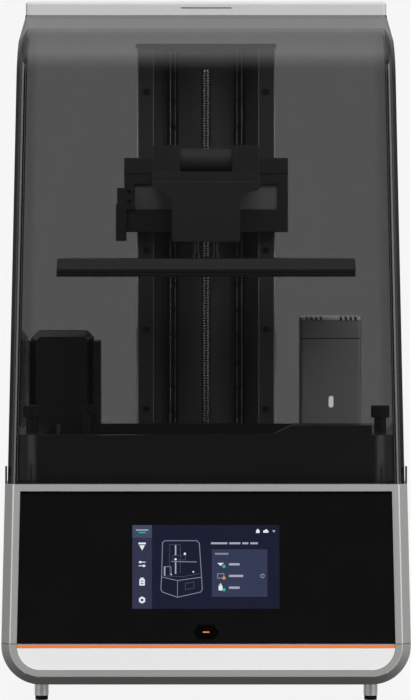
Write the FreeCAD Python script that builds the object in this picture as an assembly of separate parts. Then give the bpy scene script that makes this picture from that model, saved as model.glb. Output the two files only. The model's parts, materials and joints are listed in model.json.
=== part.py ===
import FreeCAD, Part
import math
import os

V = FreeCAD.Vector
os.makedirs("parts", exist_ok=True)

# Driving sizes in mm. The origin is on the table, under the middle of the base.
# +Z is up, the front faces -Y and +X is to the right seen from the front.
base_width = 301.0
base_depth = 300.0
total_height = 525.0
foot_height = 14.2
seam_height = 44.5
rim_height = 161.3
side_draft = math.tan(math.radians(1.16))
lean_angle = 3.0
lean = math.tan(math.radians(lean_angle))

# Base shell
corner_round = 29.0
edge_chamfer = 6.5
wall = 2.5
rim_face = 5.1
ledge_lip = 2.0
seam_gap = 0.5
rebate = 3.0
front_thick = 8.0
tray_rim = 11.2
top_rim = 5.0
trim_gap = 0.15

# Front of the base
accent_height = 3.0
panel_thick = 3.0
screen_width = 107.7
screen_height = 61.2
screen_middle = 101.0
button_width = 19.0
button_height = 10.4
button_middle = 53.3
button_gap = 0.3
light_width = 5.4
light_height = 1.6

# Feet
foot_side_gap = 28.5
foot_end_gap = 32.0
foot_post_radius = 5.2
foot_pad_radius = 4.7
foot_pad_height = 3.4

# Deck, masking screen and lamp
deck_thick = 3.0
mask_margin = 6.0
mask_thick = 1.8
bezel_width = 10.0
window_margin = 7.0
lamp_width = 90.0
lamp_floor = 50.0
lens_thick = 4.0

# Hood
hood_step = 4.3
hood_draft = math.tan(math.radians(1.0))
hood_wall = 3.0
hood_inset = 1.5
hood_back_gap = 8.0
hood_corner = 5.4
hood_corner_end = 3.2
hood_round = 38.0
roof_angle = 10.0
roof_depth = 138.0
cap_height = 10.5
cap_round = 3.0
cap_step = 0.8
slot_width = 39.0
slot_height = 1.5
guide_height = 12.6
guide_length = 9.0
guide_thick = 1.0
guide_gap = 0.9

# Vat
vat_side_gap = 2.2
vat_front_gap = 32.0
vat_back_gap = 25.0
vat_height = 37.2
vat_round = 18.0
vat_inner_round = 8.0
vat_side_wall = 20.0
vat_end_wall = 10.0
skirt_wall = 2.0
skirt_gap = 0.4
film_thick = 0.2
film_gap = 0.1
clamp_height = 3.7
clamp_width = 4.5
lip_width = 3.0
pour_rise = 7.4
knob_radius = 7.0
knob_inset = 9.0
knob_y = -60.0
knob_lift = 10.2
knob_height = 9.1
stud_radius = 2.5
running_gap = 0.05

# Tower and Z drive
tower_width = 110.0
tower_depth = 45.0
tower_back_gap = 14.0
tower_headroom = 31.0
tower_wall = 13.5
tower_back_wall = 10.0
tower_cap_thick = 3.4
tower_cap_lip = 1.2
tower_foot = 111.5
screw_rows = 5
rail_x = 26.8
rail_width = 9.0
rail_height = 6.5
rail_gap = 0.15
rail_end_gap = 0.8
block_height = 10.0
screw_inset = 13.0
screw_radius = 4.0
motor_size = 42.3
motor_height = 40.0
shaft_depth = 10.0

# Moving head, at its resting height above the vat
plate_low = 313.3
surface_thick = 2.9
plate_thick = 10.8
plate_bevel = 9.0
plate_side_gap = 9.0
plate_front_gap = 13.0
plate_back_gap = 10.0
post_radius = 2.75
post_height = 12.7
neck_height = 45.3
neck_flange = 6.3
neck_half_width = 26.0
neck_round = 11.9
neck_reach = 16.0
neck_depth = 52.0
beam_thick = 8.0
beam_half_width = 41.0
head_half_width = 65.0
head_depth = 16.0
head_gap = 2.0
window_height = 20.0
window_side = 8.0
upper_bar = 21.0
lower_bar = 18.0
carriage_gap = 2.0
nut_radius = 7.0
nut_flange_radius = 11.0
nut_flange_thick = 4.0
flag_thick = 4.0
latch_rise = 18.0
latch_radius = 9.0
latch_half_width = 20.0
latch_length = 28.0
pin_radius = 2.5

# Resin bottle and its dock
dock_width = 56.6
dock_side_gap = 2.3
dock_front_gap = 3.0
dock_back_gap = 30.0
dock_height = 101.5
dock_floor = 6.0
dock_wall = 1.6
dock_front_wall = 4.0
dock_right_wall = 5.3
cradle_height = 52.0
bottle_gap = 0.3
bottle_show = 8.2
bottle_chamfer = 4.4
bottle_corner = 5.4
bottle_round = 5.0
bottle_neck_radius = 11.0
bottle_neck_height = 10.0
spout_inset = 9.6
spout_radius = 4.0

# Air purifier
purifier_width = 48.1
purifier_shift = 0.05
purifier_front_gap = 9.0
purifier_back_gap = 19.0
purifier_case_height = 103.5
purifier_lid_height = 17.2
purifier_wall = 2.5
purifier_round = 3.0
purifier_light_rise = 53.7
vent_width = 1.8
fan_hub_radius = 9.0
shaft_radius = 2.0

# Back of the base
back_inset = 6.5
inlet_x = -95.0
inlet_z = 88.0
inlet_width = 30.0
inlet_height = 58.0
socket_width = 24.5
socket_height = 16.5
socket_depth = 17.0
rocker_width = 19.0
rocker_height = 13.0
rocker_pivot = 1.5
rocker_tilt = 8.0
fan_x = 70.0
fan_z = 96.0
fan_size = 80.0
fan_thick = 20.0
fan_radius = 37.0

# Places that follow from the sizes above
half_width = base_width / 2
half_depth = base_depth / 2
back_panel_y = half_depth - back_inset
deck_top = rim_height - wall
mask_top = deck_top + mask_thick
film_low = mask_top + film_gap
film_top = film_low + film_thick

hood_half_width = half_width - hood_step
hood_back = half_depth - hood_back_gap
cap_front = -half_depth + roof_depth
cap_low = total_height - cap_height

tower_back = hood_back - hood_wall - tower_back_gap
tower_front = tower_back - tower_depth
tower_top = total_height - tower_headroom
channel_half = tower_width / 2 - tower_wall
channel_back = tower_back - tower_back_wall
screw_y = tower_front + screw_inset
screw_top = tower_top - 16

vat_half = hood_half_width - hood_wall - vat_side_gap
vat_front = -half_depth + vat_front_gap
vat_back = tower_front - vat_back_gap
vat_top = deck_top + vat_height
vat_inner_half = vat_half - vat_side_wall
vat_inner_front = vat_front + vat_end_wall
vat_inner_back = vat_back - vat_end_wall
knob_x = vat_half - knob_inset
knob_low = vat_top + knob_lift
knob_high = knob_low + knob_height

plate_half = vat_inner_half - plate_side_gap
plate_front = vat_inner_front + plate_front_gap
plate_back = vat_inner_back - plate_back_gap
plate_middle_y = (plate_front + plate_back) / 2
plate_top = plate_low + surface_thick + plate_thick
mask_half_width = plate_half + mask_margin
mask_half_depth = (plate_back - plate_front) / 2 + mask_margin

neck_low = plate_top + post_height
neck_front = plate_middle_y - neck_reach
neck_back = neck_front + neck_depth
window_high = neck_low + neck_height
window_low = window_high - window_height
head_low = window_low - lower_bar
head_high = window_high + upper_bar
head_back = tower_front - head_gap
head_front = head_back - head_depth
latch_y = neck_back - 1
latch_z = window_high + latch_rise
cheek_top = latch_z + latch_radius + 2

dock_left = -(hood_half_width - hood_wall - dock_side_gap)
dock_right = dock_left + dock_width
dock_front = vat_back + dock_front_gap
dock_back = hood_back - hood_wall - dock_back_gap
dock_top = deck_top + dock_height
bottle_top = dock_top + bottle_show
spout_x = dock_right - spout_inset

purifier_middle = (tower_width / 2 + hood_half_width - hood_wall) / 2 + purifier_shift
purifier_left = purifier_middle - purifier_width / 2
purifier_right = purifier_middle + purifier_width / 2
purifier_front = vat_back + purifier_front_gap
purifier_back = hood_back - hood_wall - purifier_back_gap
purifier_seam = deck_top + purifier_case_height
purifier_top = purifier_seam + purifier_lid_height
purifier_light_z = deck_top + purifier_light_rise


def box(x0, x1, y0, y1, z0, z1):
    return Part.makeBox(x1 - x0, y1 - y0, z1 - z0, V(x0, y0, z0))


def cylinder(radius, x, y, z0, z1):
    return Part.makeCylinder(radius, z1 - z0, V(x, y, z0))


def rod_x(radius, x0, x1, y, z):
    return Part.makeCylinder(radius, x1 - x0, V(x0, y, z), V(1, 0, 0))


def rod_y(radius, x, y0, y1, z):
    return Part.makeCylinder(radius, y1 - y0, V(x, y0, z), V(0, 1, 0))


def outline(points, place):
    """A closed wire through (u, v) or (u, v, radius) corners; place turns (u, v) into a point."""
    edges = []
    ends = []
    count = len(points)
    for i in range(count):
        before = points[i - 1]
        here = points[i]
        after = points[(i + 1) % count]
        radius = here[2] if len(here) > 2 else 0.0
        corner = V(here[0], here[1], 0)
        if radius == 0.0:
            ends.append((corner, None, corner))
            continue
        back = (V(before[0], before[1], 0) - corner).normalize()
        ahead = (V(after[0], after[1], 0) - corner).normalize()
        half = back.getAngle(ahead) / 2
        start = corner + back * (radius / math.tan(half))
        stop = corner + ahead * (radius / math.tan(half))
        inward = (back + ahead).normalize()
        middle = corner + inward * (radius / math.sin(half) - radius)
        ends.append((start, middle, stop))
    for i in range(count):
        start, middle, stop = ends[i]
        following = ends[(i + 1) % count][0]
        if middle is not None:
            edges.append(Part.Arc(place(start), place(middle), place(stop)).toShape())
        if (following - stop).Length > 1e-6:
            edges.append(Part.makeLine(place(stop), place(following)))
    return Part.Wire(edges)


def prism_xz(points, y0, y1):
    face = Part.Face(outline(points, lambda p: V(p.x, y0, p.y)))
    return face.extrude(V(0, y1 - y0, 0))


def prism_yz(points, x0, x1):
    face = Part.Face(outline(points, lambda p: V(x0, p.x, p.y)))
    return face.extrude(V(x1 - x0, 0, 0))


def prism_xy(points, z0, z1):
    face = Part.Face(outline(points, lambda p: V(p.x, p.y, z0)))
    return face.extrude(V(0, 0, z1 - z0))


def rectangle(x0, x1, y0, y1, radius=0.0):
    corners = [(x0, y0), (x1, y0), (x1, y1), (x0, y1)]
    return [(x, y, radius) for x, y in corners]


def loft(sections):
    return Part.makeLoft([Part.makePolygon(s + [s[0]]) for s in sections], True, True)


def mirrored(shape):
    return shape.mirror(V(0, 0, 0), V(1, 0, 0))


def leaned(shape):
    """Turns a piece built upright on the front so that it leans back with the panel."""
    turned = shape.copy()
    turned.rotate(V(0, -half_depth, seam_height), V(1, 0, 0), -lean_angle)
    return turned


def joined(pieces):
    shape = pieces[0]
    for piece in pieces[1:]:
        shape = shape.fuse(piece)
    return shape.removeSplitter()


def save(name, shape):
    shape.exportStep("parts/" + name + ".step")


def side_at(z, inset=0.0):
    return half_width - max(0.0, z - seam_height) * side_draft - inset


def front_at(z):
    return -half_depth + max(0.0, z - seam_height) * lean


def hood_at(z):
    return hood_half_width - (z - rim_height) * hood_draft


# Base
def front_edges(solid, low, high):
    """Edges round the front face, with both ends at the front and not along its top or seam."""
    found = []
    for edge in solid.Edges:
        ends = [v.Point for v in edge.Vertexes]
        ahead = all(abs(p.y - front_at(p.z)) < 0.01 for p in ends)
        level = all(abs(p.z - ends[0].z) < 0.01 for p in ends)
        if ahead and not (level and not low < ends[0].z < high):
            found.append(edge)
    return found


def front_opening(inset, depth0, depth1):
    """The hole in the tray's front, narrowed by inset and cut between two depths."""
    side = half_width - edge_chamfer - rim_face - inset
    low = foot_height + tray_rim + inset
    radius = corner_round - edge_chamfer - rim_face - inset
    high = seam_height + 1
    points = [(-side, low, radius), (side, low, radius), (side, high), (-side, high)]
    return prism_xz(points, -half_depth + depth0, -half_depth + depth1)


def panel_outline(inset):
    """The hole in the shell's front, drawn upright before it leans."""
    high = seam_height + (rim_height - top_rim - seam_height) / math.cos(math.radians(lean_angle))
    rim = edge_chamfer + rim_face + inset
    low_side = side_at(seam_height, rim)
    high_side = side_at(high, rim)
    low = seam_height - inset
    points = [(-low_side, low), (low_side, low), (high_side, high - inset), (-high_side, high - inset)]
    return points


def make_base_tray():
    low = foot_height
    corners = [(-half_width, low, corner_round), (half_width, low, corner_round)]
    points = corners + [(half_width, seam_height), (-half_width, seam_height)]
    outer = prism_xz(points, -half_depth, half_depth)
    outer = outer.makeChamfer(edge_chamfer, front_edges(outer, 0, seam_height - 1))
    side = half_width - wall
    radius = corner_round - wall
    floor = low + wall
    high = seam_height + 1
    inner = [(-side, floor, radius), (side, floor, radius), (side, high), (-side, high)]
    tray = outer.cut(prism_xz(inner, -half_depth + front_thick, half_depth + 1))
    tray = tray.cut(front_opening(0, -1, front_thick - rebate))
    tray = tray.cut(front_opening(rebate, 0, front_thick + 1))
    return tray


def make_base_shell():
    points = [(-side_at(z), z) for z in (seam_height, rim_height)]
    points = [(-x, z) for x, z in points] + points[::-1]
    solid = prism_xz(points, -half_depth, half_depth)
    before = -half_depth - 1
    top = front_at(rim_height)
    ahead = [(before, seam_height), (-half_depth, seam_height), (top, rim_height)]
    ahead = ahead + [(top, rim_height + 1), (before, rim_height + 1)]
    outer = solid.cut(prism_yz(ahead, -base_width, base_width))
    outer = outer.makeChamfer(edge_chamfer, front_edges(outer, seam_height + 1, rim_height - 1))

    low_side = side_at(seam_height, wall)
    high_side = side_at(deck_top, wall)
    points = [(-low_side, seam_height), (low_side, seam_height)]
    points = points + [(high_side, deck_top), (-high_side, deck_top)]
    cavity = prism_xz(points, -half_depth, half_depth + 1)
    behind = [(-half_depth + front_thick, seam_height), (half_depth + 1, seam_height)]
    behind = behind + [(half_depth + 1, deck_top), (front_at(deck_top) + front_thick, deck_top)]
    shell = outer.cut(cavity.common(prism_yz(behind, -base_width, base_width)))

    ledge_x = hood_half_width - hood_wall - ledge_lip
    ledge_y = front_at(rim_height) + front_thick
    far = hood_back - hood_wall
    shell = shell.cut(box(-ledge_x, ledge_x, ledge_y, far, deck_top - 1, rim_height + 1))
    step = -half_depth + front_thick - rebate
    shell = shell.cut(leaned(prism_xz(panel_outline(0), before, step)))
    shell = shell.cut(leaned(prism_xz(panel_outline(rebate), before, step + rebate + 4)))
    shell = shell.cut(seam_groove(outer))

    side = hood_half_width + guide_gap
    near = front_at(rim_height) + edge_chamfer + 1.0
    high = rim_height + guide_height
    guide = box(side, side + guide_thick, near, near + guide_length, rim_height, high)
    return joined([shell, guide, mirrored(guide)])


def seam_groove(outer):
    """A shallow groove round the foot of the shell, so that the seam reads as a line."""
    ring = Part.Face(outer.slice(V(0, 0, 1), seam_height + 0.01)[0])
    inner = ring.makeOffset2D(-1.0)
    groove = ring.makeOffset2D(1.0).cut(inner).extrude(V(0, 0, seam_gap))
    groove.translate(V(0, 0, -0.01))
    return groove


def make_rear_panel():
    floor = foot_height + wall
    high = deck_top - deck_thick
    inset = wall + trim_gap
    low_side = half_width - inset
    high_side = side_at(high, inset)
    radius = corner_round - inset
    points = [(-low_side, floor, radius), (low_side, floor, radius), (low_side, seam_height)]
    points = points + [(high_side, high), (-high_side, high), (-low_side, seam_height)]
    panel = prism_xz(points, back_panel_y, back_panel_y + wall)
    half_w = inlet_width / 2 - 2
    half_h = inlet_height / 2 - 2
    hole = (inlet_x - half_w, inlet_x + half_w, back_panel_y - 1, half_depth)
    panel = panel.cut(box(*hole, inlet_z - half_h, inlet_z + half_h))
    slots = []
    for i in range(-4, 5):
        z = fan_z + i * 8.0
        reach = math.sqrt(fan_radius ** 2 - (i * 8.0) ** 2) - 2
        slots.append(box(fan_x - reach, fan_x + reach, back_panel_y - 1, half_depth, z - 2, z + 2))
    return panel.cut(Part.makeCompound(slots))


def make_deck():
    high = deck_top
    low = deck_top - deck_thick
    side = side_at(deck_top, wall + trim_gap)
    front = front_at(deck_top) + front_thick + trim_gap
    deck = box(-side, side, front, half_depth - wall, low, high)
    reach_x = mask_half_width - window_margin
    reach_y = mask_half_depth - window_margin
    near = plate_middle_y - reach_y
    far = plate_middle_y + reach_y
    deck = deck.cut(box(-reach_x, reach_x, near, far, low - 1, high + 1))
    deck = deck.cut(cylinder(screw_radius + 4, 0, screw_y, low - 1, high + 1))
    for x in (-knob_x, knob_x):
        deck = deck.cut(cylinder(stud_radius + running_gap, x, knob_y, low - 1, high + 1))
    return deck


def make_lower_fascia():
    high = seam_height - accent_height
    blank = front_opening(trim_gap, 0.8, front_thick - rebate)
    return blank.common(box(-base_width, base_width, -base_depth, 0, 0, high))


def make_accent_strip():
    low = seam_height - accent_height
    blank = front_opening(trim_gap, 0.8, front_thick - rebate)
    return blank.common(box(-base_width, base_width, -base_depth, 0, low, seam_height))


def hexagon(width, height):
    tip = height * 0.36
    half_w = width / 2
    half_h = height / 2
    points = [(-half_w, 0), (-half_w + tip, -half_h), (half_w - tip, -half_h), (half_w, 0)]
    points = points + [(half_w - tip, half_h), (-half_w + tip, half_h)]
    return [(x, z + button_middle, 0.8) for x, z in points]


def make_front_panel():
    depth = front_thick - rebate
    panel = prism_xz(panel_outline(trim_gap), -half_depth + depth - panel_thick, -half_depth + depth)
    half_w = screen_width / 2
    low = screen_middle - screen_height / 2
    hole = rectangle(-half_w, half_w, low, low + screen_height)
    panel = panel.cut(prism_xz(hole, -base_depth, 0))
    panel = panel.cut(prism_xz(hexagon(button_width, button_height), -base_depth, 0))
    floor = box(-base_width, base_width, -base_depth, 0, 0, seam_height + 0.6)
    return leaned(panel.cut(floor))


def make_touch_screen():
    half_w = screen_width / 2
    low = screen_middle - screen_height / 2
    back = -half_depth + front_thick - rebate
    glass = box(-half_w, half_w, back - panel_thick, back, low, low + screen_height)
    frame = box(-half_w - 4, half_w + 4, back, back + 4, low - 4, low + screen_height + 4)
    return leaned(joined([glass, frame]))


def make_power_button():
    back = -half_depth + front_thick - rebate
    front = back - panel_thick + 0.4
    width = button_width - 2 * button_gap
    height = button_height - 2 * button_gap
    button = prism_xz(hexagon(width, height), front, back + 1)
    half_w = light_width / 2
    half_h = light_height / 2
    slot = box(-half_w, half_w, front - 1, front + 1, button_middle - half_h, button_middle + half_h)
    return leaned(button.cut(slot))


def make_button_light():
    front = -half_depth + front_thick - rebate - panel_thick + 0.4
    half_w = light_width / 2
    half_h = light_height / 2
    return leaned(box(-half_w, half_w, front, front + 1, button_middle - half_h, button_middle + half_h))


def make_feet(radius, low, high):
    feet = []
    foot_x = half_width - foot_side_gap
    foot_y = half_depth - foot_end_gap
    for x in (-foot_x, foot_x):
        for y in (-foot_y, foot_y):
            feet.append(cylinder(radius, x, y, low, high))
    return Part.makeCompound(feet)


# Masking screen, lamp and electronics
def make_mask_screen():
    points = square_at(mask_half_width, mask_half_depth, deck_top)
    return Part.Face(Part.makePolygon(points + [points[0]])).extrude(V(0, 0, mask_thick))


def make_screen_bezel():
    half_w = mask_half_width
    half_d = mask_half_depth
    far_w = half_w + bezel_width
    far_d = half_d + bezel_width
    outer = rectangle(-far_w, far_w, -far_d, far_d, 6.0)
    frame = ring(outer, rectangle(-half_w, half_w, -half_d, half_d), deck_top, mask_top)
    frame.translate(V(0, plate_middle_y, 0))
    return frame


def square_at(half_w, half_d, z):
    middle = plate_middle_y
    near = middle - half_d
    far = middle + half_d
    return [V(-half_w, near, z), V(half_w, near, z), V(half_w, far, z), V(-half_w, far, z)]


def make_lamp_housing():
    low = lamp_floor + 34
    high = deck_top - deck_thick
    wide = mask_half_width - window_margin
    deep = mask_half_depth - window_margin
    narrow = lamp_width / 2
    foot = square_at(narrow + wall, narrow + wall, low)
    outer = loft([foot, square_at(wide + wall, deep + wall, high)])
    inner = loft([square_at(narrow, narrow, low), square_at(wide, deep, high)])
    return outer.cut(inner)


def make_uv_lamp():
    half = lamp_width / 2
    near = plate_middle_y - half
    board = box(-half, half, near, near + lamp_width, lamp_floor + 30, lamp_floor + 32)
    lights = []
    for i in range(-2, 3):
        for j in range(-2, 3):
            x = i * 16.0
            y = plate_middle_y + j * 16.0
            lights.append(box(x - 3, x + 3, y - 3, y + 3, lamp_floor + 32, lamp_floor + 33))
    return joined([board] + lights)


def make_lamp_lens():
    half = lamp_width / 2
    low = lamp_floor + 34
    return loft([square_at(half, half, low), square_at(half, half, low + lens_thick)])


def make_heat_sink():
    half = lamp_width / 2
    near = plate_middle_y - half
    far = plate_middle_y + half
    plate = box(-half, half, near, far, lamp_floor + 22, lamp_floor + 30)
    fins = []
    for i in range(11):
        x = -half + i * (lamp_width - 2) / 10
        fins.append(box(x, x + 2, near, far, lamp_floor, lamp_floor + 22))
    posts = []
    for x in (-half, half - 8):
        for y in (near, far - 8):
            posts.append(box(x, x + 8, y, y + 8, foot_height + wall, lamp_floor + 22))
    return joined([plate] + fins + posts)


def make_main_board():
    low = foot_height + wall + 8
    left = lamp_width / 2 + 7
    right = half_width - corner_round - 3.5
    near = plate_middle_y - 70
    far = near + 120
    board = box(left, right, near, far, low, low + 1.6)
    legs = [cylinder(3, x, y, low - 8, low) for x in (left + 5, right - 5) for y in (near + 5, far - 5)]
    chip = box(left + 18, left + 38, near + 40, near + 60, low + 1.6, low + 4)
    relay = box(right - 24, right - 4, near + 4, near + 30, low + 1.6, low + 14)
    return joined([board, chip, relay] + legs)


def make_power_supply():
    low = foot_height + wall
    left = -half_width + corner_round + 1.5
    near = plate_middle_y - 60
    return box(left, -lamp_width / 2 - 5, near, near + 150, low, low + 36)


def make_z_motor():
    high = deck_top - deck_thick
    half = motor_size / 2
    body = prism_xy(rectangle(-half, half, -half, half, 4.0), high - motor_height, high)
    body.translate(V(0, screw_y, 0))
    return body.cut(cylinder(screw_radius + running_gap, 0, screw_y, high - shaft_depth - 2, high + 1))


# Back of the base
def make_power_inlet():
    back = back_panel_y + wall
    half_w = inlet_width / 2
    half_h = inlet_height / 2
    flange = rectangle(inlet_x - half_w, inlet_x + half_w, inlet_z - half_h, inlet_z + half_h, 3.0)
    flange = prism_xz(flange, back, back + 2)
    side = half_w - 2.2
    rise = half_h - 2.2
    body = box(inlet_x - side, inlet_x + side, back - 24, back, inlet_z - rise, inlet_z + rise)
    module = joined([flange, body])
    low = inlet_z - half_h + 6
    left = inlet_x - socket_width / 2
    socket = rectangle(left, left + socket_width, low, low + socket_height, 2.0)
    module = module.cut(prism_xz(socket, back + 2 - socket_depth, back + 3))
    pins = []
    for dx, dz in ((-7, 5.2), (0, 9.2), (7, 5.2)):
        x = inlet_x + dx
        pins.append(box(x - 1, x + 1, back + 1.5 - socket_depth, back - 1, low + dz - 2, low + dz + 2))
    high = inlet_z + half_h - 7
    reach = rocker_width / 2 + 0.3
    well = box(inlet_x - reach, inlet_x + reach, back - 11, back + 3, high - rocker_height - 0.6, high)
    y, z = rocker_place()
    pivot = rod_x(rocker_pivot + running_gap, inlet_x - reach - 2.2, inlet_x + reach + 2.2, y, z)
    return joined([module.cut(well).cut(pivot)] + pins)


def rocker_place():
    """The rocker's hinge line: its depth and height."""
    high = inlet_z + inlet_height / 2 - 7
    return back_panel_y + wall - 3.0, high - 0.3 - rocker_height / 2


def make_switch_rocker():
    y, z = rocker_place()
    half = rocker_height / 2 - 0.8
    reach = 4.6
    points = [(y - 4, z - 2), (y + reach, z - half), (y + reach - 1.1, z)]
    points = points + [(y + reach, z + half), (y - 4, z + 2)]
    half_w = rocker_width / 2
    body = prism_yz(points, inlet_x - half_w, inlet_x + half_w)
    rocker = joined([body, rod_x(rocker_pivot, inlet_x - half_w - 2, inlet_x + half_w + 2, y, z)])
    rocker.rotate(V(inlet_x, y, z), V(1, 0, 0), -rocker_tilt)
    return rocker


def make_exhaust_fan():
    half = fan_size / 2
    frame = rectangle(fan_x - half, fan_x + half, fan_z - half, fan_z + half, 4.0)
    frame = prism_xz(frame, back_panel_y - fan_thick, back_panel_y)
    frame = frame.cut(rod_y(fan_radius, fan_x, back_panel_y - fan_thick - 1, back_panel_y + 1, fan_z))
    low = back_panel_y - fan_thick
    hub = rod_y(fan_hub_radius, fan_x, low, low + 3, fan_z)
    arms = [box(fan_x - fan_radius - 1, fan_x + fan_radius + 1, low, low + 3, fan_z - 2, fan_z + 2)]
    arms.append(box(fan_x - 2, fan_x + 2, low, low + 3, fan_z - fan_radius - 1, fan_z + fan_radius + 1))
    fan = joined([frame, hub] + arms)
    return fan.cut(rod_y(shaft_radius + running_gap, fan_x, low - 1, low + 4, fan_z))


def fan_rotor(hub_radius, blade_radius, depth, count):
    """A rotor on the Y axis, from y = 0 to depth, with slanted blades and a shaft before it."""
    hub = rod_y(hub_radius, 0, 0, depth, 0)
    shaft = rod_y(shaft_radius, 0, -3.5, 0, 0)
    blades = []
    for i in range(count):
        twist = 5.0
        root = hub_radius - 1
        tip = blade_radius
        near = [V(root, 1, -twist), V(tip, 1, -twist - 3)]
        near = near + [V(tip, 1, -twist - 1.4), V(root, 1, -twist + 1.6)]
        far = [V(p.x, depth - 1, p.z + 2 * twist) for p in near]
        blade = loft([near, far])
        blade.rotate(V(0, 0, 0), V(0, 1, 0), 360.0 * i / count)
        blades.append(blade)
    return joined([hub, shaft] + blades)


def make_exhaust_rotor():
    rotor = fan_rotor(fan_hub_radius + 6, fan_radius - 2.0, fan_thick - 6, 7)
    rotor.translate(V(fan_x, back_panel_y - fan_thick + 4, fan_z))
    return rotor


# Vat
def ring(outer, inner, low, high):
    return prism_xy(outer, low, high).cut(prism_xy(inner, low - 1, high + 1))


def vat_inside(grow):
    """The outline of the vat's inside, grown by a distance."""
    half = vat_inner_half + grow
    return rectangle(-half, half, vat_inner_front - grow, vat_inner_back + grow, vat_inner_round + grow)


def make_vat_frame():
    outer = rectangle(-vat_half, vat_half, vat_front, vat_back, vat_round)
    low = mask_top + clamp_height
    frame = ring(outer, vat_inside(0), low, vat_top)
    lip = ring(vat_inside(lip_width), vat_inside(0), film_top, low)
    half = vat_half - skirt_wall
    within = rectangle(-half, half, vat_front + skirt_wall, vat_back - skirt_wall, vat_round - skirt_wall)
    skirt = ring(outer, within, deck_top + skirt_gap, low)
    slope = vat_half * 0.34
    high = vat_top + pour_rise
    rise = [(slope, vat_top), (vat_half - vat_round, vat_top), (vat_half - vat_round, high)]
    pour = prism_xz(rise + [(slope + 16, high)], vat_front, vat_inner_front)
    frame = joined([frame, lip, skirt, pour])
    for x in (-knob_x, knob_x):
        frame = frame.cut(cylinder(stud_radius + running_gap, x, knob_y, 0, total_height))
    return frame


def make_film_clamp():
    gap = lip_width + trim_gap
    return ring(vat_inside(gap + clamp_width), vat_inside(gap), mask_top, mask_top + clamp_height)


def make_release_film():
    return prism_xy(vat_inside(lip_width), film_low, film_top)


def make_vat_knob(x):
    head = cylinder(knob_radius, x, knob_y, knob_low, knob_high)
    head = head.makeFillet(1.0, [e for e in head.Edges if abs(e.BoundBox.ZLength) < 0.01])
    neck = cylinder(knob_radius - 2.5, x, knob_y, vat_top + 0.2, knob_low)
    stud = cylinder(stud_radius, x, knob_y, deck_top - deck_thick - 3, vat_top + 0.2)
    knob = joined([head, neck, stud])
    notches = []
    for i in range(16):
        angle = 2 * math.pi * i / 16
        nx = x + (knob_radius + 0.4) * math.cos(angle)
        ny = knob_y + (knob_radius + 0.4) * math.sin(angle)
        notches.append(cylinder(0.8, nx, ny, knob_low - 1, knob_high + 1))
    return knob.cut(Part.makeCompound(notches))


# Tower and Z drive
def make_z_tower():
    half = tower_width / 2
    column = box(-half, half, tower_front, tower_back, deck_top, tower_top)
    near = tower_front - 1
    column = column.cut(box(-channel_half, channel_half, near, channel_back, deck_top - 1, tower_top + 1))
    cheek = box(half, half + 1, tower_front, tower_back, deck_top, deck_top + tower_foot)
    floor = box(-channel_half, channel_half, tower_front, channel_back, deck_top, deck_top + 6)
    floor = floor.cut(cylinder(screw_radius + 3, 0, screw_y, deck_top - 1, deck_top + 7))
    return joined([column, cheek, mirrored(cheek), floor])


def make_tower_cap():
    half = tower_width / 2 + tower_cap_lip
    points = rectangle(-half, half, tower_front - tower_cap_lip, tower_back + tower_cap_lip, 2.0)
    return prism_xy(points, tower_top, tower_top + tower_cap_thick)


def make_tower_screws():
    screws = []
    x = tower_width / 2 - 7.4
    low = deck_top + 47.5
    step = (tower_top - 35 - low) / (screw_rows - 1)
    for i in range(screw_rows):
        z = low + step * i
        for side in (-x, x):
            head = rod_y(2.6, side, tower_front - 1.0, tower_front, z)
            screws.append(head.cut(rod_y(1.3, side, tower_front - 2, tower_front - 0.4, z)))
    return Part.makeCompound(screws)


def make_rail():
    half = rail_width / 2
    near = channel_back - rail_height
    points = [(-half, channel_back), (-half, near + 3.6), (-half + 0.9, near + 2.8)]
    points = points + [(-half + 0.9, near + 2.0), (-half, near + 1.2), (-half, near + 0.4)]
    points = points + [(-half + 0.4, near)]
    points = points + [(-x, y) for x, y in points[::-1]]
    rail = prism_xy(points, deck_top + 8, tower_top - rail_end_gap)
    rail.translate(V(rail_x, 0, 0))
    holes = []
    count = int((tower_top - deck_top - 40) / 21)
    for i in range(count + 1):
        z = deck_top + 20 + i * 21.0
        holes.append(rod_y(3.0, rail_x, near - 1, near + 3.5, z))
    return rail.cut(Part.makeCompound(holes))


def make_lead_screw():
    low = deck_top - deck_thick - shaft_depth
    return cylinder(screw_radius, 0, screw_y, low, screw_top)


# Moving head
def make_rail_blocks():
    blocks = []
    front = channel_back - block_height
    back = channel_back - 1.8
    near = channel_back - rail_height - rail_gap
    half = rail_width / 2 + rail_gap
    length = (head_high - head_low - 3) / 2
    for x in (-rail_x, rail_x):
        for low in (head_low, head_high - length):
            block = box(x - 10, x + 10, front, back, low, low + length)
            slot = box(x - half, x + half, near, back + 1, low - 1, low + length + 1)
            blocks.append(block.cut(slot))
    return Part.makeCompound(blocks)


def make_z_carriage():
    half = channel_half - carriage_gap
    block = box(-half, half, head_back, channel_back - block_height, head_low, head_high)
    bore = cylinder(nut_radius + running_gap, 0, screw_y, head_low - 1, head_high + 1)
    return block.cut(bore)


def make_screw_nut():
    body = cylinder(nut_radius, 0, screw_y, head_low, head_low + 26)
    flange = cylinder(nut_flange_radius, 0, screw_y, head_low - nut_flange_thick, head_low)
    nut = joined([body, flange])
    return nut.cut(cylinder(screw_radius + running_gap, 0, screw_y, head_low - 9, head_high))


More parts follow.
